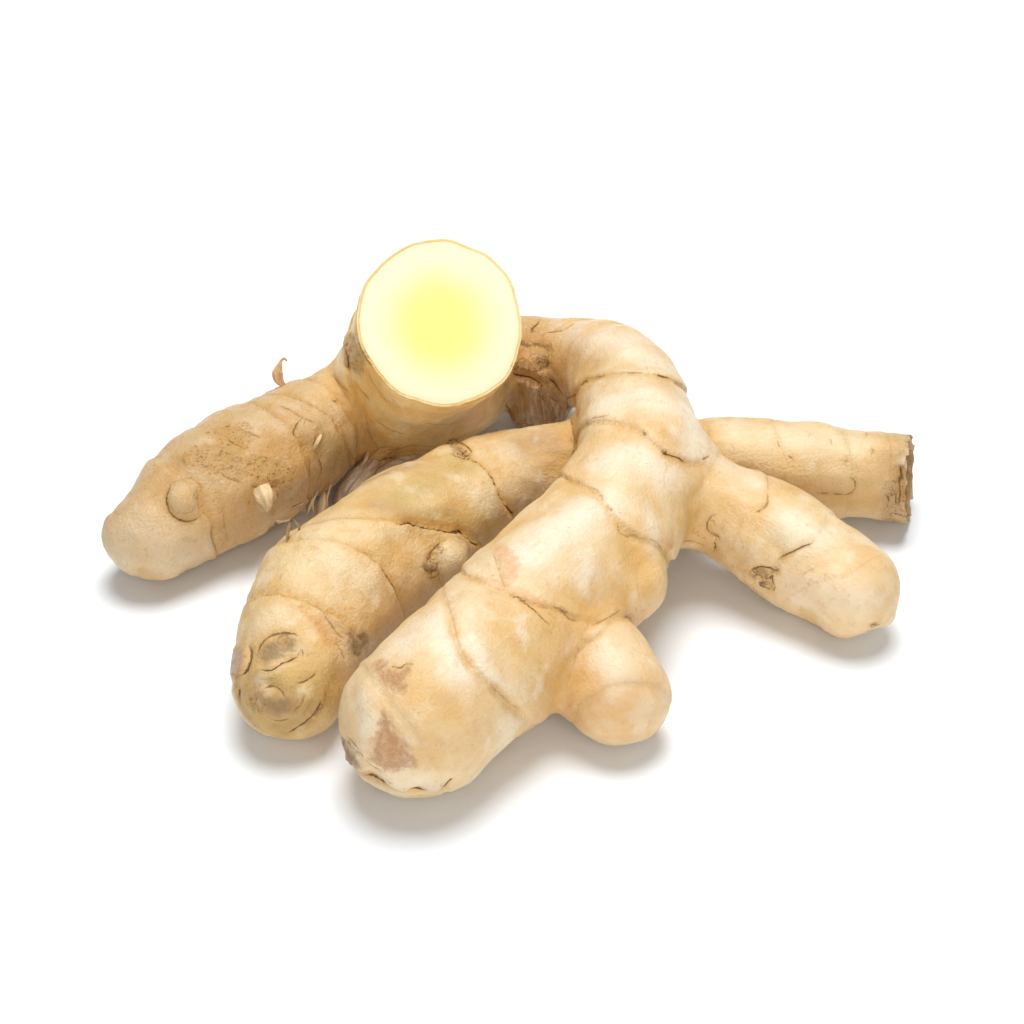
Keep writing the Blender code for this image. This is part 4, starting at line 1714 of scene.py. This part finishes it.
TUFTS = (
    Tuft(
        "root_curl",
        (
            Strand(
                (287, 388),
                (
                    (286, 390, -1.5), (283, 385, -1.2), (279, 380, -0.8), (277.5, 373, -0.6),
                    (279.5, 366, -0.8), (281, 361, -1.0), (284, 358.5, -1.0), (287, 361, -0.8),
                ),
                (0.5, 0.6, 1.05, 1.2, 0.65, 0.34, 0.28, 0.18),
                flat=0.3,
            ),
        ),
        DryFinish("curl_scale", (0.78, 0.52, 0.29), (0.5, 0.3, 0.15), charring=0.4),
    ),
    Tuft(
        "small_curl",
        (
            Strand((291, 541), ((288, 541, -1.2), (288, 531, -0.4), (291, 519, 0.0)), (0.34, 0.32, 0.24)),
            Strand((291, 541), ((299, 534, -3.4), (299, 527, -1.4), (295, 521, -0.5), (291, 519, 0.0)),
                   (0.3, 0.24, 0.2, 0.16)),
            Strand(
                (291, 541),
                ((291, 519, 0.0), (286, 521, 0.1), (281, 521.5, 0.2), (277, 522, 0.2), (276, 525, 0.2)),
                (0.2, 0.22, 0.24, 0.42, 0.25),
            ),
        ),
        DryFinish("curl_root", (0.55, 0.36, 0.16), (0.32, 0.2, 0.09), charring=0.9),
    ),
    Tuft(
        "root_hairs",
        (
            Strand((318, 480), ((324, 493, -5.5), (323, 502, -4.6), (321, 511, -4.4), (317, 519, -4.6)),
                   (0.5, 0.9, 0.8, 0.2)),
            Strand((318, 480), ((313, 495, -3.0), (312, 502, -1.4), (309, 509, -1.0), (307, 516, -1.2)),
                   (0.2, 0.3, 0.22, 0.1)),
            Strand((300, 490), ((307, 500, -4.0), (301, 504, -2.8), (295, 507, -2.8), (289, 512, -3.6)),
                   (0.18, 0.2, 0.18, 0.12)),
            Strand((318, 480), ((318, 490, -2.4), (313, 503, -1.2), (314, 514, -1.6)), (0.14, 0.18, 0.09)),
            Strand((318, 480), ((308, 493, -1.0), (302, 501, 0.6), (299, 510, 0.2)), (0.14, 0.17, 0.09)),
            Strand((330, 470), ((331, 484, -3.4), (327, 500, -2.2), (329, 512, -2.6)), (0.18, 0.22, 0.1)),
            Strand((318, 480), ((302, 497, -0.6), (297, 503, 0.8), (303, 511, 0.4), (306, 504, 0.6)),
                   (0.12, 0.15, 0.13, 0.08)),
            Strand((366, 452), ((368, 452, -0.4), (366, 459, 0.8), (362, 465, 0.7), (359, 469, 0.0)),
                   (0.3, 0.36, 0.3, 0.14)),
        ),
        DryFinish("root_hair", (0.78, 0.58, 0.34), (0.5, 0.32, 0.16), charring=0.25),
    ),
    Tuft(
        "dry_stubs",
        (
            Strand(
                (368, 461),
                ((374, 461, -2.0), (363, 474, 0.6), (353, 487, 1.0), (345, 499, 0.4), (340, 506, -0.6)),
                (1.6, 2.3, 2.6, 2.4, 1.8),
                ridges=0.04,
                sides=28,
            ),
            Strand((402, 455), ((424, 455, -2.0), (406, 463, 0.4), (390, 473, 0.8), (376, 484, 0.4)),
                   (0.7, 1.7, 2.2, 2.2), ridges=0.04, sides=28),
        ),
        DryFinish("dry_stub", (0.84, 0.68, 0.5), (0.56, 0.4, 0.26), charring=0.25),
    ),
    Tuft(
        "pale_pegs",
        (
            Strand((264, 492), ((261, 488, -0.8), (264, 496, 0.9), (267, 505, 1.1), (267, 512, 0.5)),
                   (1.9, 1.9, 1.1, 0.25), flat=0.4, sides=14),
            Strand((318, 440), ((321, 435, 0.0), (318, 441, 0.9), (315, 446, 0.9), (313, 450, 0.4)),
                   (0.35, 0.45, 0.35, 0.15)),
        ),
        DryFinish("pale_scale", (0.84, 0.64, 0.38), (0.66, 0.45, 0.22), charring=0.0, roughness=0.5),
    ),
)


@dataclass(frozen=True)
class Ripple:
    """Noise in the skin's height: its height, length and seed, and between which levels its knobs rise."""

    height: float
    length: float | Point
    seed: float = 0.0
    knobs: Spot | None = None

    def at(self, where: np.ndarray) -> np.ndarray:
        """The height at each point, in millimetres."""
        level = noise_at(where, self.length, self.seed)
        return self.height * (smooth(level, *self.knobs) if self.knobs else level)


@dataclass(frozen=True)
class Crust:
    """How a kind of patch stands out of the skin: from where to where its edge rises, and its height."""

    edge: Spot
    height: float | Ripple

    def at(self, where: np.ndarray, mask: np.ndarray) -> np.ndarray:
        """The height at each point, in millimetres."""
        height = self.height.at(where) if isinstance(self.height, Ripple) else self.height
        return smooth(mask, *self.edge) * height


CRUSTS = {
    Kind.SCAB: Crust((-0.8, 0.4), Ripple(0.4, 1.1, 5.0)),
    Kind.WARTS: Crust((-0.8, 0.6), Ripple(0.45, 1.1, 9.0, knobs=(0.1, 0.5))),
    Kind.STAIN: Crust((-0.6, 0.6), -0.12),
    Kind.FLAKE: Crust((-0.3, 0.3), 0.55),
    Kind.GREY: Crust((-0.6, 0.6), Ripple(0.25, 1.3, 3.0)),
    Kind.SPECKS: Crust((-0.6, 0.8), Ripple(0.2, 0.9, 2.0)),
}


@dataclass(frozen=True)
class ScarShape:
    """A root scar's rim and pit in millimetres, and the parts of its radius that are sunk and brown."""

    rim_height: float = 0.26
    rim_width: float = 0.45
    pit_depth: float = 0.3
    pit_part: float = 0.7
    brown: float = 0.7
    brown_part: float = 0.8
    line_fade: Spot = (0.6, 1.2)
    waves: Ripple = Ripple(0.6, 1.6, 21.0)


@dataclass(frozen=True)
class Unseen:
    """What is scattered over the sides that the picture doesn't show, and how far they face away."""

    seed: int = 11
    facing: float = -0.15
    lowest: float = 1.5
    scars: int = 34
    scar_radius: Spot = (0.6, 1.5)
    scar_mark: float = 0.4
    blushes: int = 30
    blush_reach: Spot = (3.0, 7.0)
    blush_strength: float = 0.6


@dataclass
class Coat:
    """The skin's fine relief and what its material reads, for each vertex of the body.

    A vertex belongs to the finger whose skin it is nearest to. Lengths are in millimetres.
    """

    hand: Hand
    picture: Picture
    where: np.ndarray
    normals: np.ndarray
    seam: Spot = (0.5, 3.0)
    blend: float = 3.0
    ring_share: float = 0.5
    ring_fade: Spot = (1.2, 2.2)
    # How far the painted shade reaches beside a ring scar; then its most and reach in the seams between
    # fingers.
    ring_shade_length: float = 2.5
    seam_shade: Spot = (0.8, 2.0)
    dry_finger: str = "middle_finger"
    rash_from: float = 156.0
    rash_edge: Ripple = Ripple(1.6, 3.0, 2.0)
    dry_fade: Spot = (-9.0, 1.0)
    dry_brown: float = 0.75
    dry_cover: float = 0.6
    dry_cloud: Ripple = Ripple(1.0, 4.0, 7.0)
    crease_step: float = 1.2
    crease_ends: float = 5.0
    crease_fade: float = 2.2
    swells: tuple[Ripple, ...] = (Ripple(0.05, 1.7), Ripple(0.35, 7.5, 8.0))
    pimples: tuple[Ripple, ...] = (Ripple(1.0, 2.8, 1.0), Ripple(0.5, 1.6, 6.0))
    fibres: Ripple = Ripple(0.12, (14.0, 1.5, 1.5))
    wrinkles: Ripple = Ripple(0.32, 2.6, 12.0)
    dimples: Ripple = Ripple(0.2, 4.5, 3.0)
    wrinkled: tuple[tuple[Tone, float, float], ...] = ((Tone.OLIVE, 0.5, 0.9), (Tone.BROWN, 0.3, 0.7))
    pale_evenness: float = 0.6
    fibrous: Spot = (0.9, 3.0)
    full_pores: float = 0.25
    scar_shape: ScarShape = ScarShape()
    unseen: Unseen = Unseen()

    @cached_property
    def fields(self) -> Fields:
        """How far each vertex is from each finger and bud."""
        return self.hand.fields(self.where, self.hand.swelling(self.where))

    @cached_property
    def gaps(self) -> np.ndarray:
        """How far each vertex is from each finger's skin, with a row for each finger."""
        return np.array([self.fields.gaps[name] for name in self.hand.axes])

    @cached_property
    def from_seam(self) -> np.ndarray:
        """How much farther the second finger is than the nearest."""
        nearest, second = np.sort(self.gaps, axis=0)[:2]
        return second - nearest

    @cached_property
    def owner(self) -> np.ndarray:
        """The number of the finger that each vertex belongs to."""
        return self.gaps.argmin(0)

    @cached_property
    def past_end(self) -> np.ndarray:
        """How far each vertex is past the place where the dry finger's rash begins."""
        past = self.fields.places[self.dry_finger].reach - self.rash_from + self.rash_edge.at(self.where)
        return np.where(self.owner == list(self.hand.axes).index(self.dry_finger), past, -np.inf)

    @cached_property
    def grain(self) -> np.ndarray:
        """How far each vertex is along its finger, to the finger's side and above its axis."""
        grain = np.zeros((len(self.where), 3))
        for index, name in enumerate(self.hand.axes):
            place, mine = self.fields.places[name], self.owner == index
            grain[mine] = np.stack([place.reach, *place.side_and_top], axis=1)[mine]
        return grain

    @cached_property
    def finger_values(self) -> np.ndarray:
        """The fingers' ridges, bumps and tint in columns, run softly into each other."""
        mixed = np.zeros((len(self.where), 6))
        for gap, finger in zip(self.gaps, self.hand.fingers.values()):
            share = np.exp((self.gaps.min(0) - gap) / self.blend)[:, None]
            mixed += share * (np.array([finger.ridges, finger.bumps, *finger.tint, 1.0]) - mixed)
        return mixed

    @cached_property
    def masks(self) -> dict[Kind, np.ndarray]:
        """How far each vertex is inside a patch of each kind."""
        masks = {kind: np.full(len(self.where), -FAR_GAP) for kind in Kind}
        for kind, outlines in PATCHES.items():
            for outline in outlines:
                masks[kind] = np.maximum(masks[kind], self.picture.inside(outline, self.where))
        masks[Kind.SPECKS] = np.maximum(masks[Kind.SPECKS], np.clip(self.past_end, -FAR_GAP, FAR_GAP))
        return masks

    @cached_property
    def tones(self) -> dict[Tone, np.ndarray]:
        """How strong each soft tone is."""
        tones = {tone: np.zeros(len(self.where)) for tone in Tone}
        for tone, blushes in BLUSHES.items():
            for blush in blushes:
                share = blush.strength * self.picture.stroke(blush.seen, blush.reach, self.where)
                tones[tone] = np.maximum(tones[tone], share)
        cloud = np.clip(self.dry_cover + self.dry_cloud.at(self.where), 0, 1)
        browned = self.dry_brown * smooth(self.past_end, *self.dry_fade) * cloud
        tones[Tone.BROWN] = np.maximum(tones[Tone.BROWN], browned)
        return tones

    @cached_property
    def lines(self) -> Lines:
        """Finds the nearest crease.

        Returns:
            The gap, the darkness and the groove at each vertex.
        """
        rows = [row for crease in CREASES for row in self.crease_rows(crease)]
        tree = KDTree(len(rows))
        for index, row in enumerate(rows):
            tree.insert(row[0], index)
        tree.balance()
        lines = Lines(np.full(len(self.where), FAR_GAP), *np.zeros((2, len(self.where))))
        for index, point in enumerate(self.where):
            _, nearest, distance = tree.find(point)
            if distance < FAR_GAP:
                place, aside, dark, depth, width = rows[nearest]
                lines.gap[index] = (point - place) @ aside
                lines.mark[index] = dark * max(0.0, 1 - (distance / self.crease_fade) ** 4)
                lines.groove[index] = depth * math.exp(-((distance / width) ** 2))
        return lines

    def crease_rows(self, crease: Crease) -> list[tuple[np.ndarray, np.ndarray, float, float, float]]:
        """Lays a crease on the skin.

        Args:
            crease: The crease.

        Returns:
            The place, the way to the side, the darkness, the depth and the width at each step.
        """
        places, normals = self.picture.trail(crease.seen, self.crease_step)
        if len(places) < 3:
            LOG.info("a crease isn't on the skin: %s", crease.seen[0])
            return []
        along = np.gradient(places, axis=0)
        along /= np.maximum(np.linalg.norm(along, axis=1), NEARLY_NOTHING)[:, None]
        share = np.linspace(0, 1, len(places))
        fade = smooth(np.minimum(share, 1 - share) * len(places), 0, self.crease_ends)
        return [
            (place, aside, faded * crease.mark, faded * crease.depth, crease.width)
            for place, aside, faded in zip(places, np.cross(along, normals), fade)
        ]

    def rings(self) -> dict[str, np.ndarray]:
        """Finds the nearest ring scar.

        Returns:
            How far each vertex is past the line, how dark that is, and the painted shade near scars and
            seams.
        """
        count = len(self.where)
        gap, mark, warmth = np.full(count, FAR_GAP), np.zeros(count), np.zeros(count)
        for index, (name, lines) in enumerate(self.hand.lines.items()):
            mine = self.owner == index
            for line in lines:
                past = line.past(self.fields.places[name])
                closer = mine & (np.abs(past) < np.abs(gap))
                gap[closer] = past[closer]
                mark[closer] = line.ring.mark
                # Painted shade beside the ring scar, fading with distance.
                warm = line.ring.mark * np.exp(-np.abs(past) / self.ring_shade_length)
                warmth[mine] = np.maximum(warmth, warm)[mine]
        clear = smooth(self.from_seam, *self.seam)
        mark *= self.ring_share * clear * (1 - smooth(np.abs(gap), *self.ring_fade))
        self.foot_buds(gap, mark)
        # Painted shade in the seams where fingers meet.
        most, reach = self.seam_shade
        warmth = np.clip(warmth * clear + most * np.exp(-self.from_seam / reach), 0, 1)
        return {"ring": np.clip(gap, -FAR_GAP, FAR_GAP), "ring_mark": mark, "warmth": warmth}

    def foot_buds(self, gap: np.ndarray, mark: np.ndarray) -> None:
        """Draws the foot of each bud where no ring scar is nearer.

        Args:
            gap: Distances to the nearest line, which are changed.
            mark: The lines' darkness, which is changed.
        """
        for bud in self.hand.buds:
            past = self.fields.gaps[bud.name] - self.fields.gaps[bud.finger]
            closer = (np.abs(past) < np.abs(gap)) & (self.fields.gaps[bud.name] < FAR_GAP)
            gap[closer] = past[closer]
            mark[closer] = (bud.mark * (1 - smooth(np.abs(past), *self.ring_fade)))[closer]

    def relief(self) -> np.ndarray:
        """Builds up the relief, with the scars of the unseen sides.

        Returns:
            How far each vertex is raised off the body.
        """
        ridges, bumps = self.finger_values[:, 0], self.finger_values[:, 1]
        relief = -self.lines.groove + ridges * self.fibres.at(self.grain)
        relief += sum(swell.at(self.where) for swell in self.swells)
        relief += bumps * sum(pimple.at(self.where) for pimple in self.pimples)
        wrinkled = sum(smooth(self.tones[tone], low, high) for tone, low, high in self.wrinkled)
        relief += wrinkled * self.wrinkles.at(self.where)
        for swell in SWELLS:
            relief += swell.height * self.picture.stroke(swell.seen, swell.reach, self.where)
        even = self.pale_evenness * np.clip(self.tones[Tone.PALE], 0, 1)
        relief += self.dimples.at(self.where) * (1 - even)
        for kind, crust in CRUSTS.items():
            relief += crust.at(self.where, self.masks[kind])
        self.scatter(relief)
        return relief

    def scatter(self, relief: np.ndarray) -> None:
        """Adds the root scars, and scatters more scars and soft tones over the unseen sides.

        Args:
            relief: The relief's heights, which are changed.
        """
        unseen = self.unseen
        away = self.normals @ self.picture.view.back < unseen.facing
        pool = np.flatnonzero(away & (self.where[:, 2] > unseen.lowest))
        dice = np.random.default_rng(unseen.seed)
        scars = [
            (self.where[index], dice.uniform(*unseen.scar_radius), unseen.scar_mark)
            for index in dice.choice(pool, unseen.scars)
        ]
        for scar in SCARS:
            touched = self.picture.touch(scar.seen)
            scars += [(touched[0], scar.radius, scar.mark)] if touched else []
        uneven = 1 + self.scar_shape.waves.at(self.where)
        for place, radius, mark in scars:
            relief += self.scarred(np.linalg.norm(self.where - place, axis=1) * uneven, radius, mark)
        kinds = list(Tone)
        for index in dice.choice(pool, unseen.blushes):
            tone, reach = kinds[dice.integers(len(kinds))], dice.uniform(*unseen.blush_reach)
            squares = ((self.where - self.where[index]) ** 2).sum(1)
            share = unseen.blush_strength * np.exp(-squares / (reach * reach * 0.5))
            self.tones[tone] = np.maximum(self.tones[tone], share)

    def scarred(self, distance: np.ndarray, radius: float, mark: float) -> np.ndarray:
        """Draws the rim and the brown middle of a root scar.

        Args:
            distance: How far each vertex is from the scar's middle.
            radius: The scar's radius.
            mark: How dark its rim is.

        Returns:
            The scar's relief.
        """
        shape = self.scar_shape
        gap = distance - radius
        closer = np.abs(gap) < np.minimum(np.abs(self.lines.gap), shape.line_fade[1])
        self.lines.gap[closer] = gap[closer]
        self.lines.mark[closer] = mark * (1 - smooth(np.abs(gap), *shape.line_fade))[closer]
        brown = shape.brown * hump(distance, shape.brown_part * radius)
        self.tones[Tone.BROWN] = np.maximum(self.tones[Tone.BROWN], brown)
        rim = shape.rim_height * hump(gap, shape.rim_width)
        return rim - shape.pit_depth * hump(distance, shape.pit_part * radius)

    def values(self) -> dict[str, np.ndarray]:
        """What the material reads, by the attribute's name."""
        ridges, bumps, tint = self.finger_values[:, 0], self.finger_values[:, 1], self.finger_values[:, 2:]
        return {
            **self.rings(),
            "crease": self.lines.gap,
            "crease_mark": self.lines.mark,
            "pores": np.clip(bumps / self.full_pores, 0, 1),
            "fibre": smooth(ridges, *self.fibrous),
            "grain": self.grain,
            "tint": tint,
            **{kind.value: mask for kind, mask in self.masks.items()},
            **{tone.value: share for tone, share in self.tones.items()},
        }


@dataclass
class Body:
    """The skin of the whole hand, with the recess of the fresh cut and the broken dry end."""

    hand: Hand
    view: Viewpoint
    fresh_cut: FlatCut = FlatCut((-15.9, 30.2, 42.2), (0.15, -0.67, 0.73), 40.0)
    dry_end: FlatCut = FlatCut((80.3, 21.0, 10.0), (1.0, -0.2, 0.1), 40.0)
    table: FlatCut = FlatCut((0.0, 0.0, 0.0), (0.0, 0.0, -1.0), 400.0)
    smoothing: int = 100
    # Between which percentiles of the hollows' depth the painted shade rises.
    hollow_range: Spot = (55, 97)
    tear: float = 1.1
    tear_length: float = 2.2
    # Each row: inset thickness, depth and darkness; the darkness is dry tissue that deepens into painted
    # shade in the cavity.
    cavity: tuple[Point, ...] = (
        (0.0, 0.0, -1.0), (0.7, -0.3, -0.2), (0.6, 0.8, 3.0), (1.2, 0.4, 3.0), (2.2, -0.6, 2.0),
    )
    skin_thickness: float = 0.45
    recess: float = 0.8
    recess_taper: float = 0.05
    rim_merge: float = 0.2

    def grow(self) -> bpy.types.Object:
        """Grows the uncut skin.

        Returns:
            The skin, drawn to the ring scars of the picture.
        """
        body = show("rhizome_skin", self.hand.beads())
        fuse = body.modifiers.new("fuse", "REMESH")
        fuse.mode = "VOXEL"
        fuse.voxel_size = FINE_VOXEL
        apply_modifiers(body)
        self.settle(body, 4)
        self.relax(body, 4)
        self.settle(body, 2)
        low = places_of(body.data).min(0)
        self.shift = np.array(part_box("rhizome")[0]) / MM - low
        self.shift[2] = 0.0
        self.place = Matrix.Scale(MM, 4) @ Matrix.Translation(Vector(self.shift))
        LOG.info("the hand's frame is shifted by %s", self.shift.round(3))
        self.picture = Picture(self.view, body.data, self.shift)
        self.fit_rings()
        self.settle(body, 3)
        self.relax(body, 2)
        self.settle(body, 2)
        return body

    def fit_rings(self) -> None:
        """Draws the ring scars to the places where the picture shows them."""
        for name, lines in self.hand.lines.items():
            for line in lines:
                touched = [self.picture.touch(spot) for spot in line.ring.seen]
                places = [pair[0] for pair in touched if pair]
                if places:
                    line.fit(self.hand.axes[name].nearest(np.array(places)))

    def settle(self, body: bpy.types.Object, rounds: int) -> None:
        """Moves every vertex onto the skin.

        Args:
            body: The skin.
            rounds: How often it is moved.
        """
        where = places_of(body.data)
        swelling = self.hand.swelling(where)
        for _ in range(rounds):
            gap, way = self.hand.distance(where, swelling)
            where -= np.clip(gap, -LONGEST_MOVE, LONGEST_MOVE)[:, None] * way
        move_to(body.data, where)

    def relax(self, body: bpy.types.Object, rounds: int) -> None:
        """Evens out the mesh."""
        relax = body.modifiers.new("relax", "SMOOTH")
        relax.factor = 0.5
        relax.iterations = rounds
        apply_modifiers(body)

    def write(self, mesh: bpy.types.Mesh, name: str, values: np.ndarray) -> None:
        """Writes one number, vector or colour for each vertex.

        Args:
            mesh: The mesh.
            name: The attribute's name.
            values: A number or a row for each vertex.
        """
        width = 1 if values.ndim == 1 else values.shape[1]
        kinds = {1: ("FLOAT", "value"), 3: ("FLOAT_VECTOR", "vector"), 4: ("FLOAT_COLOR", "color")}
        kind, field = kinds[width]
        layer = mesh.attributes.new(name, kind, "POINT")
        layer.data.foreach_set(field, values.astype(np.float32).ravel())

    def dress(self, body: bpy.types.Object) -> None:
        """Raises the fine relief, and writes what the skin's material reads.

        Args:
            body: The uncut skin.
        """
        mesh = body.data
        coat = Coat(self.hand, self.picture, places_of(mesh), normals_of(mesh))
        move_to(mesh, coat.where + coat.normals * coat.relief()[:, None])
        for name, values in coat.values().items():
            self.write(mesh, name, values)
        # The hollows' depth becomes the mask of the painted shade in the hollows.
        hollow = self.hollows(mesh)
        low, high = np.percentile(hollow, self.hollow_range)
        LOG.info("hollows from %.2f to %.2f mm", low, high)
        self.write(mesh, "hollow", smooth(hollow, low, high))

    def hollows(self, mesh: bpy.types.Mesh) -> np.ndarray:
        """How far each vertex lies under the skin's smoothed shape.

        Args:
            mesh: The skin's mesh.

        Returns:
            Millimetres, less than 0 where it stands out.
        """
        where = places_of(mesh)
        ends = np.empty(len(mesh.edges) * 2, int)
        mesh.edges.foreach_get("vertices", ends)
        here, there = ends[0::2], ends[1::2]
        count = len(where)
        shares = np.bincount(here, minlength=count) + np.bincount(there, minlength=count)
        soft = where.copy()
        for _ in range(self.smoothing):
            for axis in range(3):
                total = np.bincount(here, soft[there, axis], count)
                total += np.bincount(there, soft[here, axis], count)
                soft[:, axis] = 0.5 * soft[:, axis] + 0.5 * total / shares
        return ((soft - where) * normals_of(mesh)).sum(1)

    def cut(self, body: bpy.types.Object) -> list[Vector]:
        """Makes the three flat cuts, the recess in the fresh one and the cavity in the dry one.

        Args:
            body: The skin, whose mesh is replaced.

        Returns:
            The outline of the recess.
        """
        bm = bmesh.new()
        bm.from_mesh(body.data)
        cap = self.fill(bm, self.fresh_cut.slice(bm), self.fresh_cut)
        bmesh.ops.inset_region(bm, faces=[cap], thickness=self.skin_thickness, use_even_offset=True)
        bmesh.ops.inset_region(bm, faces=[cap], thickness=self.recess_taper, depth=-self.recess)
        outline = [loop.vert.co.copy() for loop in cap.loops]
        end = self.fill(bm, self.dry_end.slice(bm), self.dry_end)
        dark = bm.verts.layers.float[Kind.SCAB.value]
        self.hollow_out(bm, end, dark)
        # The middles of both cut faces take the darkest; the dry end's is the deepest painted shade of its
        # cavity.
        for vert in bmesh.ops.poke(bm, faces=[cap, end])["verts"]:
            vert[dark] = FAR_GAP
        self.table.slice(bm)
        bmesh.ops.holes_fill(bm, edges=[edge for edge in bm.edges if edge.is_boundary])
        bmesh.ops.triangulate(bm, faces=[face for face in bm.faces if len(face.verts) > 4])
        shade_smooth(bm)
        old = body.data
        body.data = mesh_from(bm, body.name)
        bpy.data.meshes.remove(old)
        return outline

    def hollow_out(
        self, bm: bmesh.types.BMesh, end: bmesh.types.BMFace, dark: bmesh.types.BMLayerItem
    ) -> None:
        """Turns the flat dry end into a ragged cavity, ring by ring.

        Args:
            bm: The mesh.
            end: The dry end's face.
            dark: The layer that takes each ring's darkness, dry tissue that deepens into painted shade.
        """
        for thickness, depth, darkness in self.cavity:
            if thickness:
                bmesh.ops.inset_region(bm, faces=[end], thickness=thickness, depth=-depth)
            for loop in end.loops:
                torn = 0.5 + 0.5 * noise_at(np.array([loop.vert.co]), self.tear_length, 4.0)[0]
                loop.vert.co -= self.dry_end.out * self.tear * torn
                loop.vert[dark] = darkness

    def fill(
        self, bm: bmesh.types.BMesh, rim: list[bmesh.types.BMEdge], cut: FlatCut
    ) -> bmesh.types.BMFace:
        """Evens out a rim and closes it with one face.

        Args:
            bm: The mesh.
            rim: The rim's edges.
            cut: The cut that the face looks out of.

        Returns:
            The face.
        """
        verts = list(dict.fromkeys(vert for edge in rim for vert in edge.verts))
        bmesh.ops.remove_doubles(bm, verts=verts, dist=self.rim_merge)
        verts = [vert for vert in verts if vert.is_valid]
        for _ in range(3):
            bmesh.ops.smooth_vert(bm, verts=verts, factor=0.5, **dict.fromkeys(EVERY_WAY, True))
            for vert in verts:
                vert.co -= (vert.co - Vector(cut.point)).dot(cut.out) * cut.out
        edges = [edge for edge in bm.edges if edge.is_boundary]
        cap = bmesh.ops.edgeloop_fill(bm, edges=edges)["faces"][0]
        if cap.normal.dot(cut.out) < 0:
            cap.normal_flip()
        return cap

    def build(self) -> tuple[bpy.types.Object, list[Vector]]:
        """Makes the finished skin in the frame's own place.

        Returns:
            The skin, and the outline of the recess for the flesh.
        """
        body = self.grow()
        self.dress(body)
        outline = self.cut(body)
        body.data.transform(self.place)
        body.data.set_sharp_from_angle(angle=CUT_ANGLE)
        body.data.materials.append(SkinFinish().material())
        return body, [self.place @ point for point in outline]


@dataclass
class Flesh:
    """The fresh cut's flesh: a thin, flat plug in the skin's recess."""

    outline: list[Vector]
    out: Vector
    height: float = 0.0008
    rings: int = 16
    first_inset: float = 0.00001

    def build(self) -> bpy.types.Object:
        """Makes the plug.

        Returns:
            The plug, with how far in from the rim each point is.
        """
        bm = bmesh.new()
        depth = bm.verts.layers.float.new("depth")
        base = bm.faces.new([bm.verts.new(point) for point in self.outline])
        base.normal_update()
        if base.normal.dot(self.out) > 0:
            base.normal_flip()
        raised = bmesh.ops.extrude_face_region(bm, geom=[base])["geom"]
        top = next(item for item in raised if isinstance(item, bmesh.types.BMFace))
        verts = [item for item in raised if isinstance(item, bmesh.types.BMVert)]
        bmesh.ops.translate(bm, verts=verts, vec=self.out * self.height)
        middle = top.calc_center_median()
        for step in range(1, self.rings):
            bmesh.ops.inset_region(bm, faces=[top], thickness=self.first_inset)
            keep = (1 - step / self.rings) / (1 - (step - 1) / self.rings)
            for vert in top.verts:
                vert.co = middle + (vert.co - middle) * keep
                vert[depth] = step / self.rings
        tip = bmesh.ops.poke(bm, faces=[top])["verts"][0]
        tip[depth] = 1.0
        bmesh.ops.recalc_face_normals(bm, faces=bm.faces)
        shade_smooth(bm)
        flesh = show("cut_flesh", mesh_from(bm, "cut_flesh"))
        flesh.data.set_sharp_from_angle(angle=CUT_ANGLE)
        flesh.data.materials.append(FleshFinish().material())
        return flesh


@dataclass(frozen=True)
class Softbox:
    """A round soft light that faces the middle of the floor: its place, power and diameter."""

    name: str
    place: Point
    watts: float
    side: float

    def build(self) -> None:
        """Hangs the light."""
        light = bpy.data.lights.new(self.name, "AREA")
        light.shape = "DISK"
        light.size = self.side
        light.energy = self.watts
        lamp = bpy.data.objects.new(self.name, light)
        lamp.location = self.place
        lamp.rotation_euler = (-Vector(self.place)).to_track_quat("-Z", "Y").to_euler()
        bpy.context.scene.collection.objects.link(lamp)


@dataclass(frozen=True)
class Studio:
    """Weak white light from all round, a soft key from above and behind, a front fill, and a white floor."""

    sky: float = 0.25
    softboxes: tuple[Softbox, ...] = (
        Softbox("key", (0.02, 0.2, 0.88), 8.5, 0.6),
        Softbox("fill", (0.1, -0.9, 0.36), 4.25, 0.9),
    )
    floor_side: float = 8.0

    def build(self) -> None:
        """Makes the world, the lights and the floor."""
        world = bpy.data.worlds.new("studio")
        bpy.context.scene.world = world
        world.use_nodes = True
        background = world.node_tree.nodes["Background"]
        background.inputs["Color"].default_value = (1.0, 1.0, 1.0, 1.0)
        background.inputs["Strength"].default_value = self.sky
        for softbox in self.softboxes:
            softbox.build()
        bm = bmesh.new()
        bmesh.ops.create_grid(bm, x_segments=1, y_segments=1, size=self.floor_side / 2)
        floor = show("floor", mesh_from(bm, "floor"))
        graph = Graph("floor")
        floor.data.materials.append(graph.finish((0.93, 0.965, 1.0, 1.0), 0.7, None))
        bpy.context.scene.view_settings.view_transform = "Standard"


def place_piece(piece: bpy.types.Object) -> None:
    """Lets a piece ride on the rhizome and stand for it."""
    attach(piece, "root")
    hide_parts("rhizome")
    LOG.info("piece %s: %d faces", piece.name, len(piece.data.polygons))


def main() -> None:
    """Builds the pieces, the light and the camera."""
    logging.basicConfig(level=logging.INFO, format="%(message)s")
    view = Viewpoint()
    view.build()
    body = Body(Hand(FINGERS, BUDS), view)
    skin, outline = body.build()
    place_piece(skin)
    flesh = Flesh(outline, body.fresh_cut.out).build()
    place_piece(flesh)
    for tuft in TUFTS:
        place_piece(tuft.build(body.picture, body.place))
    Studio().build()


if __name__ == "__main__":
    main()
